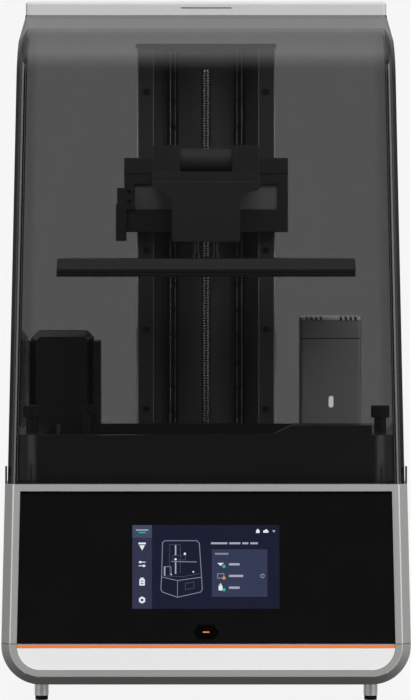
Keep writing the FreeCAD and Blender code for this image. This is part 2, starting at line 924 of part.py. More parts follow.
def make_plate_arm():
    half = head_half_width - window_side
    high = window_high + beam_thick
    back = box(-half, half, head_front + 4, head_back, window_low, window_high)
    beam = box(-beam_half_width, beam_half_width, neck_front, head_back, window_high, high)
    inner = latch_half_width + 0.4
    points = [(latch_y - 13, high), (latch_y + 13, high), (latch_y + 13, cheek_top - 6)]
    points = points + [(latch_y + 8, cheek_top), (latch_y - 13, cheek_top)]
    cheek = prism_yz(points, inner, beam_half_width)
    arm = joined([back, beam, cheek, mirrored(cheek)])
    reach = beam_half_width + 1
    return arm.cut(rod_x(pin_radius + running_gap, -reach, reach, latch_y, latch_z))


def make_arm_frame():
    half = head_half_width
    near = head_front - 1
    far = head_back + 1
    frame = box(-half, half, head_front, head_back, head_low, head_high)
    side = half - window_side
    opening = box(-side, side, near, far, window_low, window_high)
    side = beam_half_width + 0.2
    high = window_high + beam_thick
    notch = box(-side, side, near, far, window_high - 1, high + 0.2)
    groove = box(-half - 1, half + 1, near, head_front + 0.8, high - 0.6, high + 0.2)
    return frame.cut(opening).cut(notch).cut(groove)


def make_home_flag():
    """A small stepped sheet on the left of the head that trips the top sensor."""
    near = -(head_half_width - window_side) + 0.5
    middle = -head_half_width + 2
    far = -head_half_width - 6.5
    high = window_high - 3
    points = [(far + 1, high), (near, high), (near, window_low), (middle, window_low)]
    points = points + [(middle, head_low - 7), (far, head_low - 7)]
    points = points + [(far, high - 13), (far + 1, high - 13)]
    flag = prism_xz(points, head_front - flag_thick, head_front)
    for z in (high - 3, high - 11):
        flag = flag.cut(rod_y(1.6, near - 4.5, head_front - flag_thick - 1, head_front + 1, z))
    return flag


def make_plate_latch():
    half = latch_half_width - 0.2
    cam = rod_x(latch_radius, -half, half, latch_y, latch_z)
    handle = box(-half, half, latch_y, latch_y + latch_length, latch_z + 3, latch_z + latch_radius)
    pin = rod_x(pin_radius, -beam_half_width, beam_half_width, latch_y, latch_z)
    return joined([cam, handle, pin])


def make_platform_neck():
    wide = beam_half_width
    slim = neck_half_width
    high = window_high
    under = high - neck_flange
    right = [(wide, high), (wide, under, 3.0), (slim, under, neck_round), (slim, neck_low)]
    points = right + [(-p[0],) + tuple(p[1:]) for p in right[::-1]]
    return prism_xz(points, neck_front, neck_back)


def make_level_posts():
    posts = []
    for x in (-7.2, 7.2):
        for y in (neck_front + 8, neck_back - 14):
            post = cylinder(post_radius, x, y, plate_top, neck_low)
            collar = cylinder(post_radius + 1.5, x, y, plate_top, plate_top + 3)
            posts.append(joined([post, collar]))
    return Part.makeCompound(posts)


def make_build_plate():
    low = plate_low + surface_thick
    points = [(plate_front, low), (plate_back, low), (plate_back, low + 3)]
    points = points + [(plate_back - plate_bevel, plate_top), (plate_front + plate_bevel, plate_top)]
    return prism_yz(points + [(plate_front, low + 3)], -plate_half, plate_half)


def make_build_surface():
    half = plate_half
    return box(-half, half, plate_front, plate_back, plate_low, plate_low + surface_thick)


# Resin bottle and dock
def bottle_sides(grow):
    left = dock_left + dock_wall + bottle_gap - grow
    right = dock_right - dock_right_wall - bottle_gap + grow
    front = dock_front + dock_front_wall + bottle_gap - grow
    back = dock_back - dock_front_wall - bottle_gap + grow
    return left, right, front, back


def bottle_floor():
    return deck_top + dock_floor + 14.0


def make_bottle_dock():
    outer = rectangle(dock_left, dock_right, dock_front, dock_back, 3.0)
    dock = prism_xy(outer, deck_top, dock_top)
    left, right, front, back = bottle_sides(bottle_gap)
    points = rectangle(left, right, front, back, bottle_round)
    well = prism_xy(points, bottle_floor() - bottle_gap, dock_top + 1)
    middle_x = (left + right) / 2
    middle_y = (front + back) / 2
    neck = cylinder(bottle_neck_radius + bottle_gap, middle_x, middle_y, deck_top + dock_floor, dock_top)
    cradle_top = deck_top + cradle_height
    window = box(left, right, dock_front - 1, front + bottle_round, cradle_top, dock_top + 1)
    return dock.cut(well).cut(neck).cut(window)


def make_resin_bottle():
    left, right, front, back = bottle_sides(0.0)
    low = bottle_floor()
    shoulder = bottle_top - bottle_corner
    points = [(left, low), (right, low), (right, shoulder), (right - bottle_corner, bottle_top)]
    points = points + [(left + bottle_corner, bottle_top), (left, shoulder)]
    body = prism_xz(points, front, back)
    outline = [e for e in body.Edges if e.BoundBox.YLength < 0.01 and e.BoundBox.ZMax > low + 0.01]
    body = body.makeChamfer(bottle_chamfer, outline)
    middle_x = (left + right) / 2
    middle_y = (front + back) / 2
    neck = cylinder(bottle_neck_radius, middle_x, middle_y, low - bottle_neck_height, low)
    return joined([body, neck])


def make_feed_spout():
    high = vat_top + 6
    tip_y = vat_inner_back - spout_radius - 1
    duct = rod_y(spout_radius, spout_x, tip_y, dock_front, high)
    elbow = Part.makeSphere(spout_radius, V(spout_x, tip_y, high))
    tip = cylinder(spout_radius, spout_x, tip_y, vat_top - 8, high)
    return joined([duct, elbow, tip])


# Air purifier
def purifier_outline(inset, radius):
    left = purifier_left + inset
    right = purifier_right - inset
    return rectangle(left, right, purifier_front + inset, purifier_back - inset, radius)


def make_purifier_case():
    t = purifier_wall
    case = prism_xy(purifier_outline(0, purifier_round), deck_top, purifier_seam)
    case = case.cut(prism_xy(purifier_outline(t, 1.0), deck_top + t, purifier_seam + 1))
    slots = []
    near = purifier_front + 10
    far = purifier_back - 10
    for i in range(8):
        z = deck_top + 18 + i * 7.0
        slots.append(box(purifier_right - t - 1, purifier_right + 1, near, far, z, z + 3))
    case = case.cut(Part.makeCompound(slots))
    window = prism_xz(light_outline(trim_gap), purifier_front - 1, purifier_front + t + 1)
    return joined([case.cut(window), fan_shelf()])


def light_outline(grow):
    half_w = 1.8 + grow
    half_h = 4.5 + grow
    low = purifier_light_z - half_h
    left = purifier_middle - half_w
    return rectangle(left, left + 2 * half_w, low, low + 2 * half_h, half_w - 0.05)


def make_purifier_light():
    lens = prism_xz(light_outline(0.0), purifier_front, purifier_front + purifier_wall)
    back = purifier_front + purifier_wall
    left = purifier_middle - 6
    board = box(left, left + 12, back, back + 2, purifier_light_z - 9, purifier_light_z + 9)
    return joined([lens, board])


def make_purifier_lid():
    t = purifier_wall
    lid = prism_xy(purifier_outline(0, purifier_round), purifier_seam, purifier_top)
    lid = lid.cut(prism_xy(purifier_outline(t, 1.0), purifier_seam - 1, purifier_top - t))
    slots = []
    far = purifier_back - 6
    for offset in (7.9, 11.8, 15.6, 19.4):
        for x in (purifier_middle - offset, purifier_middle + offset):
            left = x - vent_width / 2
            low = purifier_top - t - 0.3
            slots.append(box(left, left + vent_width, purifier_front - 1, far, low, purifier_top + 1))
    return lid.cut(Part.makeCompound(slots))


def make_purifier_filter():
    t = purifier_wall + 0.5
    low = deck_top + purifier_wall
    near = purifier_front + 8
    return box(purifier_left + t, purifier_right - t, near, purifier_back - t, low, low + 60)


def purifier_fan_place():
    return purifier_middle, (purifier_front + purifier_back) / 2, purifier_seam - 16


def fan_shelf():
    """A shelf across the case, under the rotor, with holes for the air."""
    x, y, z = purifier_fan_place()
    low = z - 8.0
    shelf = prism_xy(purifier_outline(purifier_wall - 0.5, 1.0), low - 3, low)
    holes = [cylinder(shaft_radius + running_gap, x, y, low - 4, low + 1)]
    for i in range(6):
        angle = math.pi * i / 3
        holes.append(cylinder(3.5, x + 13 * math.cos(angle), y + 13 * math.sin(angle), low - 4, low + 1))
    return shelf.cut(Part.makeCompound(holes))


def make_purifier_rotor():
    x, y, z = purifier_fan_place()
    rotor = fan_rotor(fan_hub_radius, purifier_width / 2 - purifier_wall - 2.5, 12.0, 7)
    rotor.rotate(V(0, 0, 0), V(1, 0, 0), 90)
    rotor.translate(V(x, y, z - 7.0))
    return rotor


# Hood
def hood_front_at(z):
    return front_at(rim_height) + hood_inset + (z - rim_height) * lean


def hood_profile(depth):
    """Front and roof line, moved inwards by depth: foot, bend start, middle, end, roof end, centre."""
    tilt = math.radians(lean_angle)
    rise = math.radians(roof_angle)
    into_front = V(math.cos(tilt), -math.sin(tilt), 0)
    into_roof = V(math.sin(rise), -math.cos(rise), 0)
    along_roof = V(math.cos(rise), math.sin(rise), 0)
    along_front = V(math.sin(tilt), math.cos(tilt), 0)
    foot = V(hood_front_at(rim_height), rim_height, 0)
    end = V(cap_front, cap_low, 0)
    gap = end - foot
    determinant = along_front.x * -along_roof.y + along_roof.x * along_front.y
    reach = (gap.x * -along_roof.y + along_roof.x * gap.y) / determinant
    corner = foot + along_front * reach
    turn = math.pi / 2 - tilt - rise
    back_off = hood_round * math.tan(turn / 2)
    start = corner - along_front * back_off
    stop = corner + along_roof * back_off
    centre = start + into_front * hood_round
    middle = centre + (corner - centre).normalize() * (hood_round - depth)
    low = foot + into_front * depth
    low = low + along_front * ((rim_height - low.y) / along_front.y)
    last = end + into_roof * depth
    last = last + along_roof * ((cap_front - last.x) / along_roof.x)
    return low, start + into_front * depth, middle, stop + into_roof * depth, last, centre


def hood_side_profile(depth0, depth1):
    """Like hood_profile, but the roof part runs from depth0 to depth1 at the cap."""
    low, start, middle, stop, last, centre = hood_profile(depth0)
    last = hood_profile(depth1)[4]
    return low, start, middle, stop, last


def curve_yz(path, x):
    low, start, middle, stop, last = path
    points = [V(x, p.x, p.y) for p in (low, start, middle, stop, last)]
    edges = [Part.makeLine(points[0], points[1]), Part.Arc(points[1], points[2], points[3]).toShape()]
    return edges + [Part.makeLine(points[3], points[4])], points


def bent_sheet(half_low, half_bend, half_end):
    """The front sheet: a wedge for the front, a turned bend and a widening roof."""
    outer = hood_profile(0.0)
    inner = hood_profile(hood_wall)

    def section(i, half):
        near = outer[i]
        far = inner[i]
        front_pair = [V(-half, near.x, near.y), V(half, near.x, near.y)]
        return front_pair + [V(half, far.x, far.y), V(-half, far.x, far.y)]

    front = loft([section(0, half_low), section(1, half_bend)])
    roof = loft([section(3, half_bend), section(4, half_end)])
    return joined([front, bend_of(section(1, half_bend)), roof])


def bend_of(section):
    """Turns a cross-section at the start of the bend through the bend to the roof."""
    face = Part.Face(Part.makePolygon(section + [section[0]]))
    centre = hood_profile(0.0)[5]
    turn = 90.0 - lean_angle - roof_angle
    return face.revolve(V(0, centre.x, centre.y), V(1, 0, 0), -turn)


def hood_half_widths():
    """Half widths of the front sheet at its foot, at the bend and at the cap."""
    profile = hood_profile(0.0)
    low = hood_at(rim_height) - hood_corner
    bend = hood_at(profile[1].y) - hood_corner
    end = hood_at(cap_low) - hood_corner_end
    return low, bend, end


def make_hood_front():
    return bent_sheet(*hood_half_widths())


def corner_section(i, half, depth):
    """A slanted strip from the edge of the front sheet to the side sheet."""
    outer = hood_profile(0.0)[i]
    outer_in = hood_profile(hood_wall)[i]
    side = hood_profile(depth)[i]
    side_in = hood_profile(depth + hood_wall * 0.4)[i]
    reach = depth
    points = [V(half, outer.x, outer.y), V(half + reach, side.x, side.y)]
    points = points + [V(half + reach - hood_wall, side_in.x, side_in.y), V(half, outer_in.x, outer_in.y)]
    return points


def make_hood_side():
    low_half, bend_half, end_half = hood_half_widths()
    foot = corner_section(0, low_half, hood_corner)
    bend = corner_section(1, bend_half, hood_corner)
    roof = corner_section(3, bend_half, hood_corner)
    end = corner_section(4, end_half, hood_corner_end)
    strip = joined([loft([foot, bend]), bend_of(bend), loft([roof, end])])

    path = hood_side_profile(hood_corner, hood_corner_end)
    edges, points = curve_yz(path, 0)
    back = [V(0, hood_back, cap_low), V(0, hood_back, rim_height)]
    chain = [points[4]] + back + [points[0]]
    edges = edges + [Part.makeLine(chain[i], chain[i + 1]) for i in range(3)]
    sheet = Part.Face(Part.Wire(edges)).extrude(V(base_width, 0, 0))
    high = cap_low
    wide0 = hood_at(rim_height)
    wide1 = hood_at(high)
    slab = [(wide0 - hood_wall, rim_height), (wide0, rim_height)]
    slab = slab + [(wide1, high), (wide1 - hood_wall, high)]
    wall_sheet = sheet.common(prism_xz(slab, -base_depth, base_depth))
    return joined([wall_sheet, strip])


def make_hood_rear():
    wide0 = hood_at(rim_height) - hood_wall
    wide1 = hood_at(cap_low) - hood_wall
    points = [(-wide0, rim_height), (wide0, rim_height), (wide1, cap_low), (-wide1, cap_low)]
    return prism_xz(points, hood_back - hood_wall, hood_back)


def make_hood_cap():
    half = hood_at(cap_low) - cap_step
    outer = rectangle(-half, half, cap_front, hood_back, cap_round)
    cap = prism_xy(outer, cap_low, total_height)
    rim = [e for e in cap.Edges if abs(e.BoundBox.ZMin - total_height) < 0.01]
    cap = cap.makeFillet(cap_round - 0.5, rim)
    t = hood_wall
    cap = cap.cut(box(-half + t, half - t, cap_front + t, hood_back - t, cap_low - 1, total_height - t))
    middle = cap_low + cap_height / 2
    reach = slot_width / 2
    rise = slot_height / 2
    slot = box(-reach, reach, cap_front - 1, cap_front + 1.5, middle - rise, middle + rise)
    return cap.cut(slot)


parts = {
    "base_tray": make_base_tray(),
    "base_shell": make_base_shell(),
    "rear_panel": make_rear_panel(),
    "deck_plate": make_deck(),
    "front_panel": make_front_panel(),
    "touch_screen": make_touch_screen(),
    "accent_strip": make_accent_strip(),
    "lower_fascia": make_lower_fascia(),
    "power_button": make_power_button(),
    "button_light": make_button_light(),
    "foot_posts": make_feet(foot_post_radius, foot_pad_height, foot_height),
    "foot_pads": make_feet(foot_pad_radius, 0.0, foot_pad_height),
    "mask_screen": make_mask_screen(),
    "screen_bezel": make_screen_bezel(),
    "lamp_housing": make_lamp_housing(),
    "uv_lamp": make_uv_lamp(),
    "lamp_lens": make_lamp_lens(),
    "heat_sink": make_heat_sink(),
    "main_board": make_main_board(),
    "power_supply": make_power_supply(),
    "z_motor": make_z_motor(),
    "power_inlet": make_power_inlet(),
    "switch_rocker": make_switch_rocker(),
    "exhaust_fan": make_exhaust_fan(),
    "exhaust_rotor": make_exhaust_rotor(),
    "vat_frame": make_vat_frame(),
    "film_clamp": make_film_clamp(),
    "release_film": make_release_film(),
    "left_vat_knob": make_vat_knob(-knob_x),
    "right_vat_knob": make_vat_knob(knob_x),
    "z_tower": make_z_tower(),
    "tower_cap": make_tower_cap(),
    "tower_screws": make_tower_screws(),
    "left_rail": mirrored(make_rail()),
    "right_rail": make_rail(),
    "lead_screw": make_lead_screw(),
    "rail_blocks": make_rail_blocks(),
    "z_carriage": make_z_carriage(),
    "screw_nut": make_screw_nut(),
    "plate_arm": make_plate_arm(),
    "arm_frame": make_arm_frame(),
    "home_flag": make_home_flag(),
    "plate_latch": make_plate_latch(),
    "platform_neck": make_platform_neck(),
    "level_posts": make_level_posts(),
    "build_plate": make_build_plate(),
    "build_surface": make_build_surface(),
    "bottle_dock": make_bottle_dock(),
    "resin_bottle": make_resin_bottle(),
    "feed_spout": make_feed_spout(),
    "purifier_case": make_purifier_case(),
    "purifier_lid": make_purifier_lid(),
    "purifier_light": make_purifier_light(),
    "purifier_filter": make_purifier_filter(),
    "purifier_rotor": make_purifier_rotor(),
    "hood_front": make_hood_front(),
    "hood_left": mirrored(make_hood_side()),
    "hood_right": make_hood_side(),
    "hood_rear": make_hood_rear(),
    "hood_cap": make_hood_cap(),
}
for name, shape in parts.items():
    save(name, shape)
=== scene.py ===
# %% [markdown]
# # A desktop resin printer under a smoked hood
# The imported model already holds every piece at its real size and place, in metres, with the front
# towards -Y. This lesson dresses it: first the camera and the studio, then one finish after another,
# and then the pieces that need more shape than the plain solids have, such as the bent hood, the
# thread of the lead screw and the picture on the touch screen.

# %% Load the frame
import json
import math
import bmesh
import bpy
from mathutils import Matrix, Vector

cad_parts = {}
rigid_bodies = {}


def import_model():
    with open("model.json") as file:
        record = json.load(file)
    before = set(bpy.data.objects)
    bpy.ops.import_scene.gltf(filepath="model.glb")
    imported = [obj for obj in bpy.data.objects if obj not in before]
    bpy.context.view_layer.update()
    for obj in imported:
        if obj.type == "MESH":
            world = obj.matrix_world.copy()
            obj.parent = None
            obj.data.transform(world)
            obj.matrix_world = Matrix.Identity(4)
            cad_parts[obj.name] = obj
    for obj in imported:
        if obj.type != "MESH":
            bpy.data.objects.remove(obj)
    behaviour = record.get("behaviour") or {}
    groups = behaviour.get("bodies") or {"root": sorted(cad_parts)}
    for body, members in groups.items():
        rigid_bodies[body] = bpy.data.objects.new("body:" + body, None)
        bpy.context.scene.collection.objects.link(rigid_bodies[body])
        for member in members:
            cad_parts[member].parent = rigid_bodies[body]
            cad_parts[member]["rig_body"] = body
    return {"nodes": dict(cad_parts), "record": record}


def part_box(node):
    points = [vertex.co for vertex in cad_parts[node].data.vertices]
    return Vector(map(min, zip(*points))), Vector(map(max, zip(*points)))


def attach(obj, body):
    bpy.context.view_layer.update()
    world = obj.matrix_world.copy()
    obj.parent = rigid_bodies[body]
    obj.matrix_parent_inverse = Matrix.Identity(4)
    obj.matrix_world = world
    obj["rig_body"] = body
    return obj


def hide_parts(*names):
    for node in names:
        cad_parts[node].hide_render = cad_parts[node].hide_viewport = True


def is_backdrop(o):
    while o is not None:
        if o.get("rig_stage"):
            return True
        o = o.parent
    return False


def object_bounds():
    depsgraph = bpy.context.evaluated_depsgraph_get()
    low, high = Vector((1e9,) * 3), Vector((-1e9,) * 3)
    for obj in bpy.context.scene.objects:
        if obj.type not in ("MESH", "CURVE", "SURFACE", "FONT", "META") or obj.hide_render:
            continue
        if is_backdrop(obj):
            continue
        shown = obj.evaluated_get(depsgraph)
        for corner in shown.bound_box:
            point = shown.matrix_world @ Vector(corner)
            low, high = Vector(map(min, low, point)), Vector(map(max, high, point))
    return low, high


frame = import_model()
nodes = frame["nodes"]
cad_low, cad_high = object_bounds()
scene = bpy.context.scene
mm = 0.001
print("frame:", len(nodes), "nodes,", [round(v, 4) for v in cad_high - cad_low], "m")

# %% [markdown]
# ## The camera
# The picture was taken from straight ahead and from far away, so the sides of the machine hardly
# converge. Its horizon is the row where level faces of the machine are seen edge on. A level camera
# with a little lens shift keeps upright edges upright, which a camera that is tilted down would not.

# %% Camera
photo_wide, photo_high = 411, 700
horizon_row = 238.5
middle_column = 206.1
focal_pixels = 3547
eye_distance = 2.750
eye_height = 0.342
film_side = 36.0

bpy.ops.object.select_all(action="DESELECT")
bpy.ops.object.camera_add(location=(0, -eye_distance, eye_height), rotation=(math.pi / 2, 0, 0))
camera = bpy.context.object
camera.data.sensor_width = film_side
camera.data.lens = film_side * focal_pixels / photo_high
camera.data.shift_y = (horizon_row - photo_high / 2) / photo_high
camera.data.shift_x = (photo_wide / 2 - middle_column) / photo_high
scene.camera = camera
print("lens", round(camera.data.lens, 1), "mm, shift", round(camera.data.shift_y, 3))

# %% [markdown]
# ## Two small helpers for materials
# Colours are read off as the hex values that a paint program shows, and the shader wants them linear,
# so one function converts them. A second one adds a shader node, sets its values and links its inputs.

# %% Colour and node helpers
def linear(hex_colour):
    """A hex colour as the linear red, green, blue and alpha that a shader takes."""
    channels = [int(hex_colour[i:i + 2], 16) / 255 for i in (1, 3, 5)]
    return [c / 12.92 if c <= 0.04045 else ((c + 0.055) / 1.055) ** 2.4 for c in channels] + [1.0]


def add_node(tree, kind, settings=None, links=None):
    """A new shader node with its properties and inputs set, and some inputs linked to other nodes."""
    made = tree.nodes.new(kind)
    for name, value in (settings or {}).items():
        if isinstance(name, int) or name in made.inputs:
            made.inputs[name].default_value = value
        else:
            setattr(made, name, value)
    for name, source in (links or {}).items():
        tree.links.new(source, made.inputs[name])
    return made


print("mid grey is", round(linear("#808080")[0], 3), "in linear light")

# %% [markdown]
# ## Studio
# The machine stands on a plain pale floor in front of a white sweep. The front of the studio is dark,
# so the black panel and the front of the hood stay black. The light comes from a soft box above the
# camera and from the ceiling, whose brightness is set along the arc from the front over the top to the
# back. Two large panels on each side only show as reflections and draw lines along the edges.

# %% White sweep and the studio around the camera
sweep_white = linear("#F6F6F6")
sweep_height = 0.25
sky_strength = 2.0
front_sky, back_sky = 0.01, 0.14
# Degrees from the front horizon over the top to the back, and the brightness there.
sky_stops = (
    (8, 0.010), (23, 0.04), (43, 0.33), (63, 0.82), (90, 0.60), (119, 0.38), (135, 0.28), (144, 0.24),
    (151, 0.22), (160, 0.14), (167, 0.14),
)


def grey(value):
    return (value, value, value, 1)


world = bpy.data.worlds.new("studio")
scene.world = world
world.use_nodes = True
tree = world.node_tree
tree.nodes.clear()
direction = add_node(tree, "ShaderNodeTexCoord").outputs["Generated"]
axes = add_node(tree, "ShaderNodeSeparateXYZ", None, {"Vector": direction}).outputs
ahead = add_node(tree, "ShaderNodeMath", {"operation": "MULTIPLY", 1: -1.0}, {0: axes["Y"]})
behind = add_node(tree, "ShaderNodeMath", {"operation": "MAXIMUM", 1: 0.0}, {0: axes["Y"]})
raised = add_node(
    tree, "ShaderNodeMath", {"operation": "MULTIPLY_ADD", 1: sweep_height},
    {0: behind.outputs[0], 2: axes["Z"]})
arc = add_node(
    tree, "ShaderNodeMath", {"operation": "ARCTAN2"}, {0: raised.outputs[0], 1: ahead.outputs[0]})
share = add_node(tree, "ShaderNodeMapRange", {"From Max": math.pi}, {"Value": arc.outputs[0]})
ramp = add_node(tree, "ShaderNodeValToRGB", None, {"Fac": share.outputs[0]})
stops = ramp.color_ramp.elements
stops[0].color = grey(front_sky)
stops[1].color = grey(back_sky)
for degrees, value in sky_stops:
    stops.new(degrees / 180).color = grey(value)

# The sky fades towards the far left and right, where the arc closes up.
across = add_node(
    tree, "ShaderNodeVectorMath", {"operation": "MULTIPLY", 1: (0, 1, 1)}, {0: direction})
height = add_node(tree, "ShaderNodeVectorMath", {"operation": "LENGTH"}, {0: across.outputs[0]})
strength = add_node(
    tree, "ShaderNodeMath", {"operation": "MULTIPLY", 1: sky_strength}, {0: height.outputs["Value"]})
studio = add_node(
    tree, "ShaderNodeBackground", None,
    {"Color": ramp.outputs["Color"], "Strength": strength.outputs[0]})
sweep = add_node(tree, "ShaderNodeBackground", {"Color": sweep_white})
ray = add_node(tree, "ShaderNodeLightPath")
both = add_node(
    tree, "ShaderNodeMixShader", None,
    {0: ray.outputs["Is Camera Ray"], 1: studio.outputs[0], 2: sweep.outputs[0]})
add_node(tree, "ShaderNodeOutputWorld", None, {"Surface": both.outputs[0]})
scene.view_settings.view_transform = "Standard"
print("studio sky with", len(stops), "stops")

# %% Soft boxes
machine_middle = Vector((0, 0, 0.25))
key_watts = 122
panel_watts = {-1: 41, 1: 49}
bright_to_dim = 4.2


def soft_box(name, place, size, watts):
    """A rectangular lamp that is aimed at the machine and stays out of the picture."""
    bpy.ops.object.light_add(type="AREA", location=place)
    lamp = bpy.context.object
    lamp.name = name
    lamp.data.shape = "RECTANGLE"
    lamp.data.size, lamp.data.size_y = size
    lamp.data.energy = watts
    lamp.rotation_euler = (machine_middle - Vector(place)).to_track_quat("-Z", "Y").to_euler()
    lamp.visible_camera = False
    return lamp


key = soft_box("key_box", (0.6, -2.6, 2.2), (3.2, 2.2), key_watts)
key.visible_glossy = False
for side, watts in panel_watts.items():
    bright = soft_box("bright_panel", (side * 1.92, -1.79, 0.8), (1.7, 2.2), watts)
    dim = soft_box("dim_panel", (side * 2.6, 0, 0.8), (2.0, 2.2), watts / bright_to_dim)
    bright.visible_diffuse = False
    dim.visible_diffuse = False

# %% Floor
floor_radius = 1.0
floor_glow = 0.97
bpy.ops.mesh.primitive_circle_add(vertices=96, radius=floor_radius, fill_type="NGON")
floor = bpy.context.object
floor.name = "floor"
# Matt paper that glows as the sweep does: the two run together, and only a faint shadow is left.
paper = bpy.data.materials.new("pale paper floor")
paper.use_nodes = True
shader = paper.node_tree.nodes["Principled BSDF"]
shader.inputs["Base Color"].default_value = linear("#303030")
shader.inputs["Roughness"].default_value = 0.9
shader.inputs["Specular IOR Level"].default_value = 0.05
shader.inputs["Emission Color"].default_value = sweep_white
shader.inputs["Emission Strength"].default_value = floor_glow
floor.data.materials.append(paper)
floor.visible_diffuse = False
floor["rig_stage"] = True
print("floor", 2 * floor_radius, "m across")

# %% [markdown]
# ## Finishes
# Every finish starts from the same three things: a colour that is never quite even, a sheen that
# varies a little, and a fine relief. One function lays them down from a grain size in millimetres.
# The grain can be stretched along an axis, which turns specks into the hairlines of brushed metal.

# %% The surface of a made thing
def surface(name, dark, pale, rough, grain, relief, metallic=0.0, stretch=(1, 1, 1), cloud=40.0):
    """Colour from dark to pale and roughness between two values. Grain, relief and cloud are in mm."""
    material = bpy.data.materials.new(name)
    material.use_nodes = True
    tree = material.node_tree
    tree.nodes.clear()
    place = add_node(tree, "ShaderNodeTexCoord").outputs["Object"]
    turned = add_node(tree, "ShaderNodeMapping", {"Scale": stretch}, {"Vector": place})
    fine = {"Scale": 1 / (grain * mm), "Detail": 2.0, "Roughness": 0.6}
    specks = add_node(tree, "ShaderNodeTexNoise", fine, {"Vector": turned.outputs["Vector"]})
    broad = {"Scale": 1 / (cloud * mm), "Detail": 3.0}
    clouds = add_node(tree, "ShaderNodeTexNoise", broad, {"Vector": place})
    halved = {"operation": "MULTIPLY", 1: 0.5}
    half_clouds = add_node(tree, "ShaderNodeMath", halved, {0: clouds.outputs["Fac"]})
    summed = {"operation": "MULTIPLY_ADD", 1: 0.5}
    both = add_node(
        tree, "ShaderNodeMath", summed, {0: specks.outputs["Fac"], 2: half_clouds.outputs[0]})
    mix = add_node(tree, "ShaderNodeMix", {"data_type": "RGBA"}, {"Factor": both.outputs[0]})
    mix.inputs[6].default_value = linear(dark)
    mix.inputs[7].default_value = linear(pale)
    between = {"To Min": rough[0], "To Max": rough[1]}
    sheen = add_node(tree, "ShaderNodeMapRange", between, {"Value": both.outputs[0]})
    raised = {"Distance": relief * mm, "Strength": 0.6}
    bump = add_node(tree, "ShaderNodeBump", raised, {"Height": specks.outputs["Fac"]})
    wanted = {"Base Color": mix.outputs[2], "Roughness": sheen.outputs[0], "Normal": bump.outputs[0]}
    shader = add_node(tree, "ShaderNodeBsdfPrincipled", {"Metallic": metallic}, wanted)
    add_node(tree, "ShaderNodeOutputMaterial", None, {"Surface": shader.outputs[0]})
    return material


def shader_of(material):
    return material.node_tree.nodes["Principled BSDF"]


def set_shader(socket, values):
    """Sets one socket of the shader in several finishes."""
    for name, value in values.items():
        shader_of(finishes[name]).inputs[socket].default_value = value


finishes = {}
print("surface helper ready")

# %% [markdown]
# ### Painted and moulded casings
# The base is folded steel with a satin powder coat, whose skin has the faint dimples that painters
# call orange peel. The pale strip, the cap and the dark boxes are moulded ABS with a spark-eroded
# texture. Real grit of 0.1 mm would not show in a picture of the whole machine, so it is drawn coarser.

# %% Casings
# Baked powder: an even grey with a soft sheen and shallow dimples.
finishes["grey_paint"] = surface("satin powder coat", "#969694", "#A2A2A0", (0.22, 0.30), 1.6, 0.02)
# A paler grey of the same coat, painted as a highlight along a fold.
finishes["painted_edge_highlight"] = surface("rubbed paint edge", "#BEBEBC", "#CACAC8", (0.20, 0.28), 1.6, 0.01)
# White pigment through and through: bright and even, with hardly a highlight.
finishes["pale_plastic"] = surface("white satin ABS", "#EAEAEA", "#F2F2F2", (0.40, 0.50), 0.9, 0.01)
# A greyer batch with more texture: broad, soft light on the cap.
finishes["cap_plastic"] = surface("pale grey ABS", "#B4B4B4", "#BEBEBE", (0.42, 0.52), 0.9, 0.015)
# A smoother mould: a warm orange with a slight gloss.
finishes["orange_plastic"] = surface("orange ABS", "#EC7E3A", "#F48A44", (0.30, 0.40), 0.9, 0.01)
# A coarse spark texture: a dull black that mirrors nothing.
finishes["black_plastic"] = surface("black ABS", "#151516", "#1D1D1E", (0.42, 0.55), 0.8, 0.03)
# A fine texture in charcoal: pale enough to be seen through the smoked hood.
finishes["dark_plastic"] = surface("charcoal ABS", "#78787A", "#828284", (0.45, 0.55), 0.8, 0.01)
# Glass-filled nylon: the dullest black, as on knobs.
finishes["soft_black"] = surface("black nylon", "#0A0A0B", "#101011", (0.55, 0.65), 0.8, 0.03)
# Blow-moulded: black with a waxy bloom.
finishes["bottle_black"] = surface("satin black HDPE", "#131314", "#191A1A", (0.50, 0.60), 1.2, 0.02)
# A pale grey painted along the top of the lid as a highlight.
finishes["lid_grey"] = surface("painted lid highlight", "#C8C8CA", "#D2D2D4", (0.30, 0.40), 0.9, 0.01)
# The same black painted grey where the rim's slopes face up: a painted highlight.
finishes["bottle_band"] = surface("scuffed black HDPE", "#404041", "#4A4A4B", (0.40, 0.50), 1.2, 0.02)
# Moulded rubber: black with almost no highlight.
finishes["foot_rubber"] = surface("foot rubber", "#050505", "#0B0B0B", (0.75, 0.88), 0.7, 0.04)
# Texture breaks up the mirror image, so these reflect less than a smooth face would.
less_gloss = {
    "grey_paint": 0.12, "soft_black": 0.2, "black_plastic": 0.3, "foot_rubber": 0.1, "bottle_black": 0.2,
    "dark_plastic": 0.3,
}
set_shader("Specular IOR Level", less_gloss)
print("casings:", sorted(finishes))

# %% [markdown]
# ### Metals
# The tower, vat and platform are aluminium, blasted and dyed black in the anodising bath. The rails,
# the screw and the feet are ground or turned steel, so their grain is stretched into hairlines. Real
# hairlines of 0.05 mm would blur into plain grey, so they are drawn about 0.4 mm wide.

# %% Metals
along_z = (1, 1, 0.04)
along_y = (1, 0.05, 1)
loosely_along_z = (1, 1, 0.2)
round_z = (1, 1, 6)
# Blasted, then dyed: near black with a silky sheen.
finishes["black_anodised"] = surface(
    "black anodised aluminium", "#272728", "#303031", (0.36, 0.48), 0.7, 0.02, metallic=0.2)
# A shorter bath: a shade paler, which sets the tower off from the vat.
finishes["tower_black"] = surface(
    "thin black anodising", "#333334", "#3D3D3E", (0.40, 0.52), 0.7, 0.02, metallic=0.2)
# A long, cold bath: the blackest metal, with a narrower highlight.
finishes["hard_black"] = surface(
    "hard black anodising", "#19191A", "#212122", (0.24, 0.34), 0.7, 0.01, metallic=0.1)
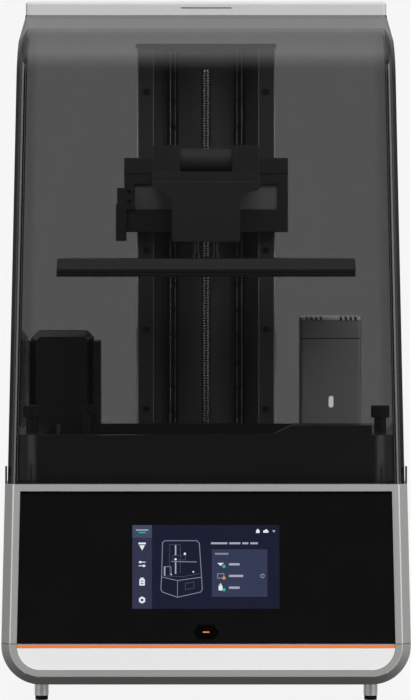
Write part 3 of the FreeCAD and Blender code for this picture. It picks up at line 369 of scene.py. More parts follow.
# A paler copy of the tower's black, painted light on the channel, which its sides shade.
finishes["channel_painted_light"] = surface(
    "tower black painted lighter", "#48484A", "#525254", (0.45, 0.55), 0.7, 0.02, metallic=0.2)
# Chemically blackened: small dark screw heads.
finishes["screw_black"] = surface(
    "black oxide steel", "#101011", "#181819", (0.35, 0.45), 0.4, 0.01, metallic=0.4)
# Blasted and left bare: mid grey without shine.
finishes["grey_cast"] = surface(
    "blasted aluminium", "#6C6D6E", "#767778", (0.48, 0.60), 0.8, 0.03, metallic=0.2)
# A bright grey painted as the highlight along the tower's upright front edges.
finishes["cut_edge"] = surface(
    "painted edge highlight", "#BCBEC0", "#C8CACC", (0.45, 0.55), 0.6, 0.01, metallic=0.2)
# Plated after grinding: black with hairlines up the rail.
finishes["rail_black"] = surface(
    "black chromed steel", "#1A1A1B", "#222224", (0.30, 0.42), 0.4, 0.01, 0.4, along_z)
# Pale stripes painted along the black rail as highlights.
finishes["track_steel"] = surface(
    "painted rail highlight", "#7A7C7E", "#888A8C", (0.40, 0.50), 0.4, 0.01, 0.3, along_z)
# Turned on a lathe: fine rings round the post.
finishes["foot_steel"] = surface(
    "satin turned steel", "#AAAAA8", "#B8B8B6", (0.26, 0.36), 0.4, 0.01, 0.45, round_z)
# Pressed between rollers: smooth, so the turns glint one by one.
finishes["thread_steel"] = surface(
    "rolled steel thread", "#7A7C7E", "#888A8C", (0.34, 0.40), 6.0, 0.001, metallic=1.0)
# As it came from the mill: pale, with its grain along the sheet.
finishes["raw_aluminium"] = surface(
    "mill aluminium", "#A6A8AA", "#BCBEC0", (0.32, 0.45), 0.5, 0.02, 1.0, along_y)
# Ground and oiled: a bright streak along hairlines.
finishes["bright_steel"] = surface(
    "ground steel", "#8E9092", "#A8AAAC", (0.26, 0.38), 0.4, 0.01, 1.0, along_z)
# Turned from bar: warm yellow with a soft shine.
finishes["nut_brass"] = surface(
    "turned brass", "#A98243", "#C29A55", (0.28, 0.40), 0.4, 0.01, 1.0, loosely_along_z)
print("finishes so far:", len(finishes))

# %% [markdown]
# ### Glass, film and electronics
# The front panel is glass printed black from behind, with the haze that fingers leave on it. The
# pieces inside the base only show when someone takes it apart, but they get their own finish too.

# %% Glass, film and electronics
# Ink behind clear glass: a deep black under a hazy mirror.
finishes["panel_glass"] = surface("back-printed glass", "#0E0E0E", "#121212", (0.05, 0.11), 30, 0.001)
# Polished mould: black with one small highlight.
finishes["button_black"] = surface("piano black ABS", "#020202", "#050505", (0.16, 0.24), 20, 0.001)
# Glass over a backlit panel: a dark blue that glows a little.
finishes["screen_glass"] = surface("display glass", "#10111C", "#141625", (0.10, 0.20), 30, 0.001)
# Glass over an unlit panel: black and clear.
finishes["mask_glass"] = surface("masking screen glass", "#07070A", "#0D0D12", (0.06, 0.14), 25, 0.001)
# Stretched fluoropolymer: a faint silver veil.
finishes["film_clear"] = surface("release film", "#C8CDD2", "#D8DCE0", (0.12, 0.25), 12, 0.005)
# Clear moulding: little but its gloss.
finishes["lens_clear"] = surface("moulded lens", "#C8CDD2", "#D8DCE0", (0.10, 0.20), 16, 0.01)
# Lacquer over copper: a glossy dark green.
finishes["board_green"] = surface("solder mask", "#12401F", "#1A5229", (0.30, 0.45), 1.2, 0.02)
# Loose grains: rough black, each with its own shade.
finishes["carbon"] = surface("carbon granules", "#0C0C0C", "#2A2A2A", (0.70, 0.90), 2.2, 0.6)
set_shader("Specular IOR Level", {"panel_glass": 0.35, "button_black": 0.05, "screen_glass": 0.35})
set_shader("Alpha", {"film_clear": 0.3, "lens_clear": 0.35})
print("finishes so far:", len(finishes))

# %% [markdown]
# ### Lit parts
# The lamps are milky plastic with a light behind it, so they glow evenly and have little gloss.

# %% Lit parts
def lit(name, dark, pale, strength):
    """A milky diffuser that glows in its pale colour."""
    made = surface(name, dark, pale, (0.35, 0.45), 1.0, 0.01)
    shader_of(made).inputs["Emission Color"].default_value = linear(pale)
    shader_of(made).inputs["Emission Strength"].default_value = strength
    return made


# A bright, cool pill of light.
finishes["lamp_white"] = lit("lit white diffuser", "#E8EAEE", "#F4F6FA", 0.9)
# A dimmer, warm bar of light.
finishes["lamp_orange"] = lit("lit orange diffuser", "#D07038", "#E88038", 0.3)
set_shader("Emission Color", {"screen_glass": linear("#1A1B31")})
set_shader("Emission Strength", {"screen_glass": 0.55})
print("finishes so far:", len(finishes))

# %% [markdown]
# ### Smoked acrylic
# The hood is tinted acrylic, 3 mm thick, that lets about three tenths of the light through each wall.
# A see-through value on both faces of the wall does that. A sheet that is seen at a low angle turns
# into a mirror, so the value rises towards solid with the angle, and the shader's gloss does the rest.
# The bonded corners are thick where one looks along them, so they are all but black.

# %% Smoked acrylic
face_stops = 0.457
acrylic_index = 1.49
# Cast and polished: a clear dark tint under a sharp gloss.
finishes["smoked_acrylic"] = surface("smoked acrylic", "#070708", "#0A0A0B", (0.04, 0.07), 40, 0.001)
# The bonded corner: the same tint, too deep to see through.
finishes["smoked_corner"] = surface("smoked acrylic corner", "#08080A", "#0B0B0C", (0.06, 0.10), 40, 0.001)
sheet = finishes["smoked_acrylic"]
tree = sheet.node_tree
angle = add_node(tree, "ShaderNodeLayerWeight", {"Blend": 0.5})
steep = add_node(tree, "ShaderNodeMath", {"operation": "POWER", 1: 5.0}, {0: angle.outputs["Facing"]})
solid = add_node(
    tree, "ShaderNodeMapRange", {"To Min": face_stops, "To Max": 1.0}, {"Value": steep.outputs[0]})
tree.links.new(solid.outputs[0], shader_of(sheet).inputs["Alpha"])
set_shader("Alpha", {"smoked_corner": 0.97})
set_shader("IOR", {"smoked_acrylic": acrylic_index, "smoked_corner": acrylic_index})
set_shader("Specular IOR Level", {"smoked_acrylic": 0.9})
print("one wall passes", round((1 - face_stops) ** 2, 3), "of the light")

# %% [markdown]
# ## Which node gets which finish
# The record names a slot for every node. A few nodes of one slot still look different on the machine,
# because they came out of another bath or another mould, and those are listed by name.

# %% Give every node its finish
slot_of = {row["node"]: row["material_slot"] for row in frame["record"]["subparts"]}
own_finish = {
    "z_tower": "tower_black", "tower_cap": "tower_black", "tower_screws": "screw_black",
    "vat_frame": "hard_black", "build_plate": "hard_black", "build_surface": "hard_black",
    "level_posts": "rail_black", "left_rail": "rail_black", "right_rail": "rail_black",
    "power_button": "button_black", "plate_latch": "tower_black", "foot_posts": "foot_steel",
    "left_vat_knob": "soft_black", "right_vat_knob": "soft_black", "feed_spout": "soft_black",
    "resin_bottle": "bottle_black", "bottle_dock": "bottle_black",
}
for name, node in nodes.items():
    for slot in node.material_slots:
        slot.material = finishes[own_finish.get(name, slot_of[name])]
print("finished nodes:", len(nodes), "of which", len(own_finish), "have a finish of their own")

# %% [markdown]
# ## Edges
# No made thing has knife edges: folded steel, mouldings and machined blocks all have a small round
# that catches the light. A copy of each node gets its loose triangles merged and its flat faces
# joined up again, and then the long sharp edges are bevelled. The copy stands in for the node.

# %% Helpers that copy a node and stand the copy in for it
crease = 35
largest_only = 100


def select_only(piece):
    bpy.ops.object.select_all(action="DESELECT")
    piece.select_set(True)
    bpy.context.view_layer.objects.active = piece


def settle(piece, body, slot, *replaced):
    """The piece moves with a body and stands for some nodes. The slot is not used."""
    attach(piece, body)
    if replaced:
        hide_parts(*replaced)


def soft_copy(name):
    """A copy of a node as a new piece, in edit mode, with its triangles merged into whole faces."""
    piece = bpy.data.objects.new(name + "_rounded", nodes[name].data.copy())
    scene.collection.objects.link(piece)
    select_only(piece)
    bpy.ops.object.mode_set(mode="EDIT")
    bpy.ops.mesh.select_all(action="SELECT")
    bpy.ops.mesh.remove_doubles(threshold=1e-6)
    bpy.ops.mesh.dissolve_limited(angle_limit=math.radians(0.5))
    return piece


def flatten(piece, degrees, weight=50):
    """Smooth shading between edges sharper than an angle, with the large faces kept flat."""
    bpy.ops.object.shade_smooth_by_angle(angle=math.radians(degrees))
    weighted = piece.modifiers.new("flat faces stay flat", "WEIGHTED_NORMAL")
    weighted.keep_sharp = True
    weighted.weight = weight
    bpy.ops.object.modifier_apply(modifier=weighted.name)


def finish_copy(piece, name):
    """The copy gets its shading and stands in for its node."""
    bpy.ops.object.mode_set(mode="OBJECT")
    flatten(piece, crease)
    settle(piece, nodes[name]["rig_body"], slot_of[name], name)


print("edges sharper than", crease, "degrees stay sharp")

# %% Helpers that choose edges and faces
shortest_edge = 5.0
room_for_round = 2.5
near = 0.05 * mm


def select_edges(piece, wanted):
    """Selects the edges for which wanted(edge) is true, in edit mode."""
    bpy.ops.mesh.select_all(action="DESELECT")
    bpy.ops.mesh.select_mode(type="EDGE")
    shape = bmesh.from_edit_mesh(piece.data)
    count = 0
    for edge in shape.edges:
        if wanted(edge):
            edge.select_set(True)
            count += 1
    bmesh.update_edit_mesh(piece.data)
    return count


def bevel_edges(piece, radius, wanted, finish=None, segments=2):
    """Rounds the wanted edges, and can give the new faces a finish of their own."""
    count = select_edges(piece, wanted)
    if finish:
        piece.data.materials.append(finishes[finish])
    index = len(piece.data.materials) - 1 if finish else -1
    if count:
        bpy.ops.mesh.bevel(
            offset=radius * mm, offset_type="OFFSET", segments=segments, clamp_overlap=True, material=index)
    return count


def round_long_edges(piece, radius):
    """Rounds the edges that are long and sharp, between faces wide enough for the round."""
    def long_and_sharp(edge):
        length = edge.calc_length()
        if len(edge.link_faces) != 2 or length < shortest_edge * mm:
            return False
        needed = room_for_round * radius * mm * length
        wide = all(face.calc_area() > needed for face in edge.link_faces)
        return wide and edge.calc_face_angle(0.0) > math.radians(crease)
    return bevel_edges(piece, radius, long_and_sharp)


def cut_across(place, normal):
    """Cuts the whole mesh along a plane without opening it, so that faces can differ on each side."""
    bpy.ops.mesh.select_all(action="SELECT")
    bpy.ops.mesh.bisect(plane_co=place, plane_no=normal)


def paint_faces(piece, added, number):
    """Adds finishes and gives each face the one that number(face) says, and returns how many changed."""
    bpy.ops.object.mode_set(mode="OBJECT")
    for name in added:
        piece.data.materials.append(finishes[name])
    changed = 0
    for face in piece.data.polygons:
        before = face.material_index
        face.material_index = int(number(face))
        changed += face.material_index != before
    return changed


print("edges shorter than", shortest_edge, "mm stay as they are")

# %% Round the edges
edge_radius = {
    "hood_cap": 0.4, "lower_fascia": 0.3, "front_panel": 0.3, "rear_panel": 0.4, "vat_frame": 1.2,
    "tower_cap": 1.5, "z_carriage": 0.8, "arm_frame": 0.6, "home_flag": 0.4, "platform_neck": 0.8,
    "plate_latch": 0.8, "build_plate": 0.8, "build_surface": 0.4, "bottle_dock": 0.8,
    "purifier_case": 0.8, "power_button": 0.3, "screen_bezel": 0.4, "power_inlet": 0.5,
    "switch_rocker": 0.4,
}
for name, radius in edge_radius.items():
    piece = soft_copy(name)
    print(name, round_long_edges(piece, radius), "edges rounded to", radius, "mm")
    finish_copy(piece, name)

# %% [markdown]
# ### The base
# The two upright folds at the front of the base carry a painted highlight: a narrow flat bevel in a
# paler grey than the powder coat of the painted steel. The guide tabs for the hood are black plastic,
# and the faces above the hood's foot take the finish of the tabs.

# %% Base with a painted highlight along its front folds and dark guide tabs
fold_highlight_wide = 0.6
fold_radius = 1.4
fold_highlight_low = 22 * mm
tabs_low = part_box("hood_right")[0].z + 0.5 * mm


def fold_highlight_edge(edge):
    """The edge between the front of the base and the chamfer of its side."""
    normals = [face.normal for face in edge.link_faces]
    slanted = sum(0.4 < abs(n.x) < 0.9 and n.y < -0.3 for n in normals)
    facing = sum(n.y < -0.9 for n in normals)
    return slanted == 1 and facing == 1 and min(v.co.z for v in edge.verts) > fold_highlight_low


def tab_or_paint(face):
    return 2 if face.center.z > tabs_low else face.material_index


for name in ("base_tray", "base_shell"):
    piece = soft_copy(name)
    # The paler paint on this bevel is a painted highlight along the fold.
    highlighted = bevel_edges(piece, fold_highlight_wide, fold_highlight_edge, "painted_edge_highlight", segments=1)
    count = round_long_edges(piece, fold_radius)
    paint_faces(piece, ["black_plastic"], tab_or_paint)
    finish_copy(piece, name)
    print(name, "has", highlighted, "rubbed and", count, "rounded edges")

# %% [markdown]
# ### The bottle
# The bottle stands neck down in its dock, and the sloping rim of its bottom sticks out at the top. Those
# slopes face up and take a grey painted as a highlight, chosen by their normals above the dock.

# %% Bottle with a painted highlight on the sloping rim at its top
bottle_radius = 0.5
dock_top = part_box("bottle_dock")[1].z


# Slopes above the dock, which take the painted highlight.
def painted_lit(face):
    return face.center.z > dock_top and 0.3 < abs(face.normal.y) < 0.9


piece = soft_copy("resin_bottle")
round_long_edges(piece, bottle_radius)
print("bottle:", paint_faces(piece, ["bottle_band"], painted_lit), "band faces")
finish_copy(piece, "resin_bottle")

# %% [markdown]
# ### The purifier's lid
# The lid is a moulded cover with a dark seam where it sits on the case, and a pale strip along its top
# is a painted highlight. The seam is a small flat bevel of the lower outer edge in black. The strip is
# cut off by a level plane, which leaves the shape as it was, and then takes the pale painted highlight.

# %% Purifier lid with a painted highlight along its top
lid_highlight_high = 2.0 * mm
seam_high = 0.7
lid_low, lid_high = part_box("purifier_lid")
lid_middle = (lid_low + lid_high) / 2
lid_highlight_low = lid_high.z - lid_highlight_high


def seam_edge(edge):
    """The outer edge of the lid's underside, where it sits on the case."""
    walls = [face for face in edge.link_faces if abs(face.normal.z) < 0.1]
    outward = [wall for wall in walls if wall.normal.dot(wall.calc_center_median() - lid_middle) > 0]
    return len(outward) == 1 and all(v.co.z < lid_low.z + near for v in edge.verts)


# Faces near the top that face up or forward take the painted highlight.
def highlight_or_lid(face):
    outside = face.normal.y < -0.5 or face.normal.z > 0.3
    return 2 if outside and face.center.z > lid_highlight_low else face.material_index


piece = soft_copy("purifier_lid")
cut_across((0, 0, lid_highlight_low), (0, 0, 1))
print("lid seam:", bevel_edges(piece, seam_high, seam_edge, "black_plastic", segments=1), "edges")
print("lid:", paint_faces(piece, ["lid_grey"], highlight_or_lid), "pale faces")
finish_copy(piece, "purifier_lid")

# %% [markdown]
# ### The accent strip and the power lamp
# The orange strip has a thin band of the base's grey painted along its top as a highlight, and the lamp
# of the power button has a dark rim painted where the button's hole shades it. One more plane marks off
# the band, and an inset of the lamp's front face leaves a rim around it.

# %% Accent strip with a painted highlight along its top
highlight_band_high = 0.5 * mm
strip_radius = 0.3
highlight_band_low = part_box("accent_strip")[1].z - highlight_band_high
piece = soft_copy("accent_strip")
cut_across((0, 0, highlight_band_low), (0, 0, 1))
round_long_edges(piece, strip_radius)
# The grey on the top band of the strip is a painted highlight.
highlight_band_faces = paint_faces(piece, ["grey_paint"], lambda face: face.center.z > highlight_band_low)
finish_copy(piece, "accent_strip")
print("accent strip:", highlight_band_faces, "lip faces")

# %% Lamp of the power button with a painted dark rim
shade_rim_wide = 0.35 * mm
piece = soft_copy("button_light")
bpy.ops.mesh.select_mode(type="FACE")
bpy.ops.mesh.select_all(action="DESELECT")
shape = bmesh.from_edit_mesh(piece.data)
lamp_front = min(shape.faces, key=lambda face: face.calc_center_median().y)
lamp_front.select_set(True)
bmesh.update_edit_mesh(piece.data)
bpy.ops.mesh.inset(thickness=shade_rim_wide, depth=0)
# The black rim is painted shade, where the button's hole shades the lamp.
print("power lamp:", paint_faces(piece, ["button_black"], lambda face: not face.select), "dark faces")
finish_copy(piece, "button_light")

# %% [markdown]
# ### Tower, rails and arm
# The tower's upright front edges carry a painted highlight in bright grey, the edges of its channel one in
# mid grey, and the inside of the channel is painted lighter, as light for the shade of its sides. The
# rails are black with two pale stripes painted along them as highlights. The arm's web behind the
# frame's window was blasted and left grey. Upright planes mark off the strips, because a bevel would
# skew beside the small step in the tower's side.

# %% Tower with painted highlights along its front edges
edge_highlight_wide = 0.9 * mm
channel_half = 41.5 * mm
step_z = 270.3 * mm
step_wide = 1.0 * mm
face_deep = 2 * mm
tower_low, tower_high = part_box("z_tower")
lower_half = tower_high.x
upper_half = lower_half - step_wide


def tower_finish(face):
    """Plain on the sides, a bright painted highlight at the outer edges, a grey painted highlight at the
    channel's edges, and painted lighter inside the channel.
    """
    across = abs(face.center.x)
    half = upper_half if face.center.z > step_z else lower_half
    if face.normal.y > -0.5:
        return 0
    if face.center.y > tower_low.y + face_deep:
        return 3 if across < channel_half else 0
    if across > half - edge_highlight_wide:
        return 1
    return 2 if across < channel_half + edge_highlight_wide else 0


piece = soft_copy("z_tower")
for across in (channel_half + edge_highlight_wide, upper_half - edge_highlight_wide, lower_half - edge_highlight_wide):
    for side in (-1, 1):
        cut_across((side * across, 0, 0), (1, 0, 0))
# The bright and grey strips are painted highlights, and the channel is painted lighter for its shade.
strips = paint_faces(piece, ["cut_edge", "grey_cast", "channel_painted_light"], tower_finish)
finish_copy(piece, "z_tower")
print("tower:", strips, "strips and channel faces")

# %% Rails with painted highlight stripes
stripe_middle = 1.9 * mm
stripe_wide = 0.8 * mm


# Two narrow stripes on the rail's front, painted pale as highlights.
def on_stripe(face):
    off_stripe = abs(abs(face.center.x - rail_middle) - stripe_middle)
    return off_stripe < stripe_wide / 2 and face.normal.y < -0.9


for name in ("left_rail", "right_rail"):
    piece = soft_copy(name)
    low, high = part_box(name)
    rail_middle = (low.x + high.x) / 2
    for side in (-1, 1):
        for edge in (-0.5, 0.5):
            cut_across((rail_middle + side * stripe_middle + edge * stripe_wide, 0, 0), (1, 0, 0))
    print(name, "has", paint_faces(piece, ["track_steel"], on_stripe), "track faces")
    finish_copy(piece, name)

# %% Arm with a grey web
arm_radius = 0.3
web_top = 386 * mm
piece = soft_copy("plate_arm")
round_long_edges(piece, arm_radius)
web_faces = paint_faces(
    piece, ["grey_cast"], lambda face: face.normal.y < -0.5 and face.center.z < web_top)
finish_copy(piece, "plate_arm")
print("arm:", web_faces, "grey faces")

# %% [markdown]
# ## The hood
# On the machine the hood is one bent front sheet with side sheets and a back sheet bonded to it. Seen
# through, a bonded corner is one body, so it is modelled as one closed shell. A box is drawn out to the
# hood's outside, its front is leaned back, the front edge of the roof gets the large bend, and the
# corners get their flat chamfer, which fades out where the roof meets the cap.

# %% Hood: the outer box
hood_wall = 3.0 * mm
lean = math.radians(3.0)
roof_slope = math.radians(10.0)
bend_radius = 38.0 * mm
cap_rim = 0.4 * mm

side_low, side_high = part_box("hood_right")
cap_low, cap_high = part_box("hood_cap")
foot_z = side_low.z
top_z = cap_low.z
foot_half = side_high.x
top_half = cap_high.x + cap_rim
front_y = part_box("hood_front")[0].y
roof_y = cap_low.y
back_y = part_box("hood_rear")[1].y

bpy.ops.object.select_all(action="DESELECT")
bpy.ops.mesh.primitive_cube_add(size=1, location=(0, (front_y + back_y) / 2, (foot_z + top_z) / 2))
hood = bpy.context.object
hood.name = "smoked_hood"
hood.scale = (2 * foot_half, back_y - front_y, top_z - foot_z)
bpy.ops.object.transform_apply(location=True, rotation=True, scale=True)
print("hood box", [round(v, 4) for v in hood.dimensions])

# %% Hood: lean, roof and taper
corner_z = top_z + (front_y - roof_y - foot_z * math.tan(lean)) * math.tan(roof_slope)
corner_z = corner_z / (1 - math.tan(lean) * math.tan(roof_slope))
corner_y = front_y + (corner_z - foot_z) * math.tan(lean)
taper = (foot_half - top_half) / (top_z - foot_z)


def pick(piece, wanted):
    """Selects the vertices for which wanted(place) is true, in edit mode."""
    bpy.ops.mesh.select_mode(type="VERT")
    bpy.ops.mesh.select_all(action="DESELECT")
    shape = bmesh.from_edit_mesh(piece.data)
    for vertex in shape.verts:
        vertex.select_set(wanted(vertex.co))
    shape.select_flush(True)
    bmesh.update_edit_mesh(piece.data)


bpy.ops.object.mode_set(mode="EDIT")
cut_across((0, roof_y, 0), (0, 1, 0))
pick(hood, lambda p: p.z > top_z - near and p.y < front_y + near)
bpy.ops.transform.translate(value=(0, corner_y - front_y, corner_z - top_z))
for height in (corner_z, top_z):
    pick(hood, lambda p: abs(p.z - height) < near)
    narrower = 1 - taper * (height - foot_z) / foot_half
    bpy.ops.transform.resize(value=(narrower, 1, 1), center_override=(0, 0, height))
print("front corner of the roof at", round(corner_y, 4), round(corner_z, 4))

# %% Hood: open it, bend the roof and chamfer the corners
turn = math.pi / 2 - lean - roof_slope
bend_offset = bend_radius * math.tan(turn / 2)
bend_segments = 16
corner_wide = 7.0 * mm


def open_face(face):
    """The underside, and the part of the top that the cap covers."""
    middle = face.calc_center_median()
    return middle.z < foot_z + near or (middle.z > top_z - near and middle.y > roof_y)


def roof_edge(edge):
    return all(abs(v.co.z - corner_z) < near and v.co.y < roof_y - near for v in edge.verts)


def side_corner(edge):
    """An edge between a side sheet and the front, the bend or the roof."""
    if len(edge.link_faces) != 2:
        return False
    sideways = [abs(face.normal.x) > 0.9 for face in edge.link_faces]
    return sideways[0] != sideways[1] and all(v.co.y < roof_y + near for v in edge.verts)


bpy.ops.mesh.select_mode(type="FACE")
bpy.ops.mesh.select_all(action="DESELECT")
shape = bmesh.from_edit_mesh(hood.data)
for face in shape.faces:
    face.select_set(open_face(face))
bmesh.update_edit_mesh(hood.data)
bpy.ops.mesh.delete(type="FACE")
select_edges(hood, roof_edge)
bpy.ops.mesh.bevel(offset=bend_offset, offset_type="OFFSET", segments=bend_segments, profile=0.5)
count = select_edges(hood, side_corner)
bpy.ops.mesh.bevel(offset=corner_wide, offset_type="OFFSET", segments=1)
print("chamfered", count, "corner edges")

# %% Hood: make the chamfer shallow along the front and fade it out at the cap
corner_deep = 5.0 * mm
shoulder_deep = 9.0 * mm
corner_end = 2.6 * mm
corner_end_deep = 3.0 * mm
bend_low = corner_z - bend_radius
bend_high = corner_z - 0.2 * bend_radius


def is_slanted(face):
    return 0.25 < abs(face.normal.x) < 0.9


def chamfer_depth(place):
    """How deep the chamfer cuts into the side sheet, from the foot over the bend to the roof."""
    past = (place.z - bend_low) / (bend_high - bend_low)
    past = min(max(past, 0), 1)
    return corner_deep + (shoulder_deep - corner_deep) * past


shape = bmesh.from_edit_mesh(hood.data)
shape.normal_update()
for vertex in shape.verts:
    slanted = [face for face in vertex.link_faces if is_slanted(face)]
    if not slanted:
        continue
    half_here = foot_half - taper * (vertex.co.z - foot_z)
    on_side = abs(abs(vertex.co.x) - half_here) < 4 * near
    if vertex.co.y < roof_y - near and on_side:
        outward = sum((face.normal for face in slanted), Vector()) * Vector((0, 1, 1))
        outward.z = outward.z if vertex.co.z > foot_z + near else 0
        vertex.co += outward.normalized() * (corner_wide - chamfer_depth(vertex.co))
    elif vertex.co.y > roof_y - near and not on_side:
        vertex.co.x = math.copysign(top_half - corner_end, vertex.co.x)
    elif vertex.co.y > roof_y + near:
        vertex.co.y = roof_y + corner_end_deep
    elif vertex.co.y > roof_y - near:
        vertex.co.z = top_z - corner_end_deep
bmesh.update_edit_mesh(hood.data)
print("chamfer", corner_deep / mm, "mm deep at the foot and", shoulder_deep / mm, "mm at the roof")

# %% Hood: give the sheets their thickness and their finish
hood_crease = 60
hood.data.materials.append(finishes["smoked_acrylic"])
paint_faces(hood, ["smoked_corner"], is_slanted)
wall = hood.modifiers.new("wall", "SOLIDIFY")
wall.thickness = hood_wall
wall.offset = -1
wall.use_even_offset = True
bpy.ops.object.modifier_apply(modifier="wall")
bpy.ops.object.mode_set(mode="EDIT")
pick(hood, lambda p: p.z < foot_z + 2 * near)
bpy.ops.transform.resize(value=(1, 1, 0), center_override=(0, 0, foot_z))
bpy.ops.object.mode_set(mode="OBJECT")
flatten(hood, hood_crease, largest_only)
settle(hood, "hood", "smoked_acrylic", "hood_front", "hood_left", "hood_right", "hood_rear")

# Only the camera sees the tinted hood, which would shade what is under it. The roof doesn't mirror the
# cap, which would show as a bright band.
for seen_by in ("visible_shadow", "visible_diffuse", "visible_glossy"):
    setattr(hood, seen_by, False)
bpy.data.objects["hood_cap_rounded"].visible_glossy = False
print("hood faces", len(hood.data.polygons))

# %% [markdown]
# ## The lead screw
# The screw is a rolled trapezoidal thread. Its tooth is drawn once, as the side view of one turn, and
# the Screw modifier winds it up the shaft, one pitch for each turn. A plain chamfered end is joined to
# its top, as the lathe leaves it.

# %% Lead screw: the thread
pitch = 2.0 * mm
thread_deep = 0.9 * mm
crest_from, crest_to = 0.35, 0.65
steps_per_turn = 14
end_length = 5 * mm
unthreaded = 4 * mm
screw_low, screw_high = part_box("lead_screw")
crest = (screw_high.x - screw_low.x) / 2
root = crest - thread_deep
axis_y = (screw_low.y + screw_high.y) / 2
turns = int((screw_high.z - screw_low.z - unthreaded) / pitch)
tooth = ((root, 0), (crest, crest_from), (crest, crest_to), (root, 1))

bpy.ops.object.select_all(action="DESELECT")
bpy.ops.mesh.primitive_grid_add(x_subdivisions=1, y_subdivisions=3, size=1)
screw = bpy.context.object
screw.name = "threaded_screw"
bpy.ops.object.mode_set(mode="EDIT")
pick(screw, lambda p: p.x > 0)
bpy.ops.mesh.delete(type="VERT")
bpy.ops.object.mode_set(mode="OBJECT")
outline = sorted(screw.data.vertices, key=lambda v: v.co.y)
for vertex, (radius, height) in zip(outline, tooth):
    vertex.co = (radius, 0, height * pitch)
wind = screw.modifiers.new("thread", "SCREW")
wind.steps = steps_per_turn
wind.render_steps = steps_per_turn
wind.screw_offset = pitch
wind.iterations = turns
wind.use_merge_vertices = True
select_only(screw)
bpy.ops.object.modifier_apply(modifier="thread")
screw.location = (0, axis_y, screw_low.z)
bpy.ops.object.transform_apply(location=True, rotation=True, scale=True)
print("thread of", turns, "turns")

# %% Lead screw: the plain end
end_chamfer = 0.8 * mm
screw_crease = 30
bpy.ops.mesh.primitive_cylinder_add(vertices=2 * steps_per_turn, radius=root, depth=end_length)
stub = bpy.context.object
stub.location = (0, axis_y, screw_high.z - end_length / 2)
bpy.ops.object.transform_apply(location=True, rotation=True, scale=True)
bpy.ops.object.mode_set(mode="EDIT")
select_edges(stub, lambda e: all(v.co.z > screw_high.z - near for v in e.verts))
bpy.ops.mesh.bevel(offset=end_chamfer, segments=1)
bpy.ops.object.mode_set(mode="OBJECT")
select_only(screw)
stub.select_set(True)
bpy.ops.object.join()
bpy.ops.object.mode_set(mode="EDIT")
bpy.ops.mesh.select_all(action="SELECT")
bpy.ops.mesh.normals_make_consistent(inside=False)
bpy.ops.object.mode_set(mode="OBJECT")
bpy.ops.object.shade_smooth_by_angle(angle=math.radians(screw_crease))
screw.data.materials.clear()
screw.data.materials.append(finishes["thread_steel"])
settle(screw, "screw", "bright_steel", "lead_screw")
print("lead screw of", len(screw.data.polygons), "faces")

# %% [markdown]
# ## The picture on the touch screen
# A display shows a flat picture, so each mark is a thin lit tile that stands a tenth of a millimetre
# proud of the glass. The layout is a plain one: a side bar with four signs, a line drawing of a
# machine, and a card with three rows of plain bars. Places are in millimetres from the middle of the
# screen, u to the right and v up, and one function turns them with the leaning panel.

# %% Screen helpers
glass_out = 0.1 * mm
screen_middle = 101.0 * mm
panel_foot = Vector((0, cad_low.y, 44.5 * mm))
glass_y = cad_low.y + 2.0 * mm
panel_turn = Matrix.Translation(panel_foot) @ Matrix.Rotation(-lean, 4, "X")
round_sides = 16
tiles = []


def screen_light(name, hex_colour, strength=0.68):
    """A spot of the display: nearly black when it is off, and it glows in its own colour."""
    made = surface(name, "#0A0A0E", "#101014", (0.20, 0.30), 20, 0.001)
    shader_of(made).inputs["Emission Color"].default_value = linear(hex_colour)
    shader_of(made).inputs["Emission Strength"].default_value = strength
    shader_of(made).inputs["Specular IOR Level"].default_value = 0.3
    return made


picture = {
    "bar": screen_light("display slate", "#363A56"),
    "tab": screen_light("display pale slate", "#4A5474"),
    "card": screen_light("display blue", "#39415F"),
    "white": screen_light("display white", "#E4E8F0", 1.0),
    "outline": screen_light("display pale grey", "#C4C8D6"),
    "line": screen_light("display line grey", "#9A9EB0"),
    "faint": screen_light("display dim grey", "#565B74"),
    "teal": screen_light("display teal", "#35D0B4"),
    "amber": screen_light("display amber", "#E8B04A"),
}


def tile(colour, u, v, wide, high, sides=4, turn=0.0, layer=1):
    """A thin lit tile with its middle at u, v. A higher layer lies over a lower one."""
    thick = 2 * glass_out * layer
    if sides == 4:
        bpy.ops.mesh.primitive_cube_add(size=1)
        size = (wide * mm, thick, high * mm)
        upright = Matrix.Identity(4)
    else:
        bpy.ops.mesh.primitive_cylinder_add(vertices=sides, radius=0.5, depth=1)
        size = (wide * mm, high * mm, thick)
        upright = Matrix.Rotation(math.pi / 2, 4, "X")
    made = bpy.context.object
    place = Matrix.Translation(Vector((u * mm, glass_y, screen_middle + v * mm)) - panel_foot)
    spin = Matrix.Rotation(math.radians(turn), 4, "Y")
    made.matrix_world = panel_turn @ place @ spin @ upright @ Matrix.Diagonal((*size, 1))
    bpy.ops.object.transform_apply(location=True, rotation=True, scale=True)
    made.data.materials.append(picture[colour])
    tiles.append(made)


def dot(colour, u, v, wide, layer=1):
    tile(colour, u, v, wide, wide, sides=round_sides, layer=layer)


def draw(line, colour, thick):
    """A run of straight strokes from point to point."""
    for (u0, v0), (u1, v1) in zip(line, line[1:]):
        length = math.hypot(u1 - u0, v1 - v0)
        angle = -math.degrees(math.atan2(v1 - v0, u1 - u0))
        tile(colour, (u0 + u1) / 2, (v0 + v1) / 2, length + thick, thick, turn=angle)


print("display colours:", len(picture))

# %% Side bar with its signs
bar_u, bar_wide = -47.0, 14.4
tray_v, slider_v, bottle_v, nut_v = 14.6, 2.15, -11.3, -24.2
tab_v = 26.0

bpy.ops.object.select_all(action="DESELECT")
tile("bar", bar_u, -4.6, bar_wide, 52.0)
tile("tab", bar_u, tab_v, bar_wide, 9.2)
tile("outline", bar_u, tab_v + 1.0, 9.2, 0.9, layer=2)
tile("teal", bar_u, tab_v - 0.8, 5.0, 0.9, layer=2)
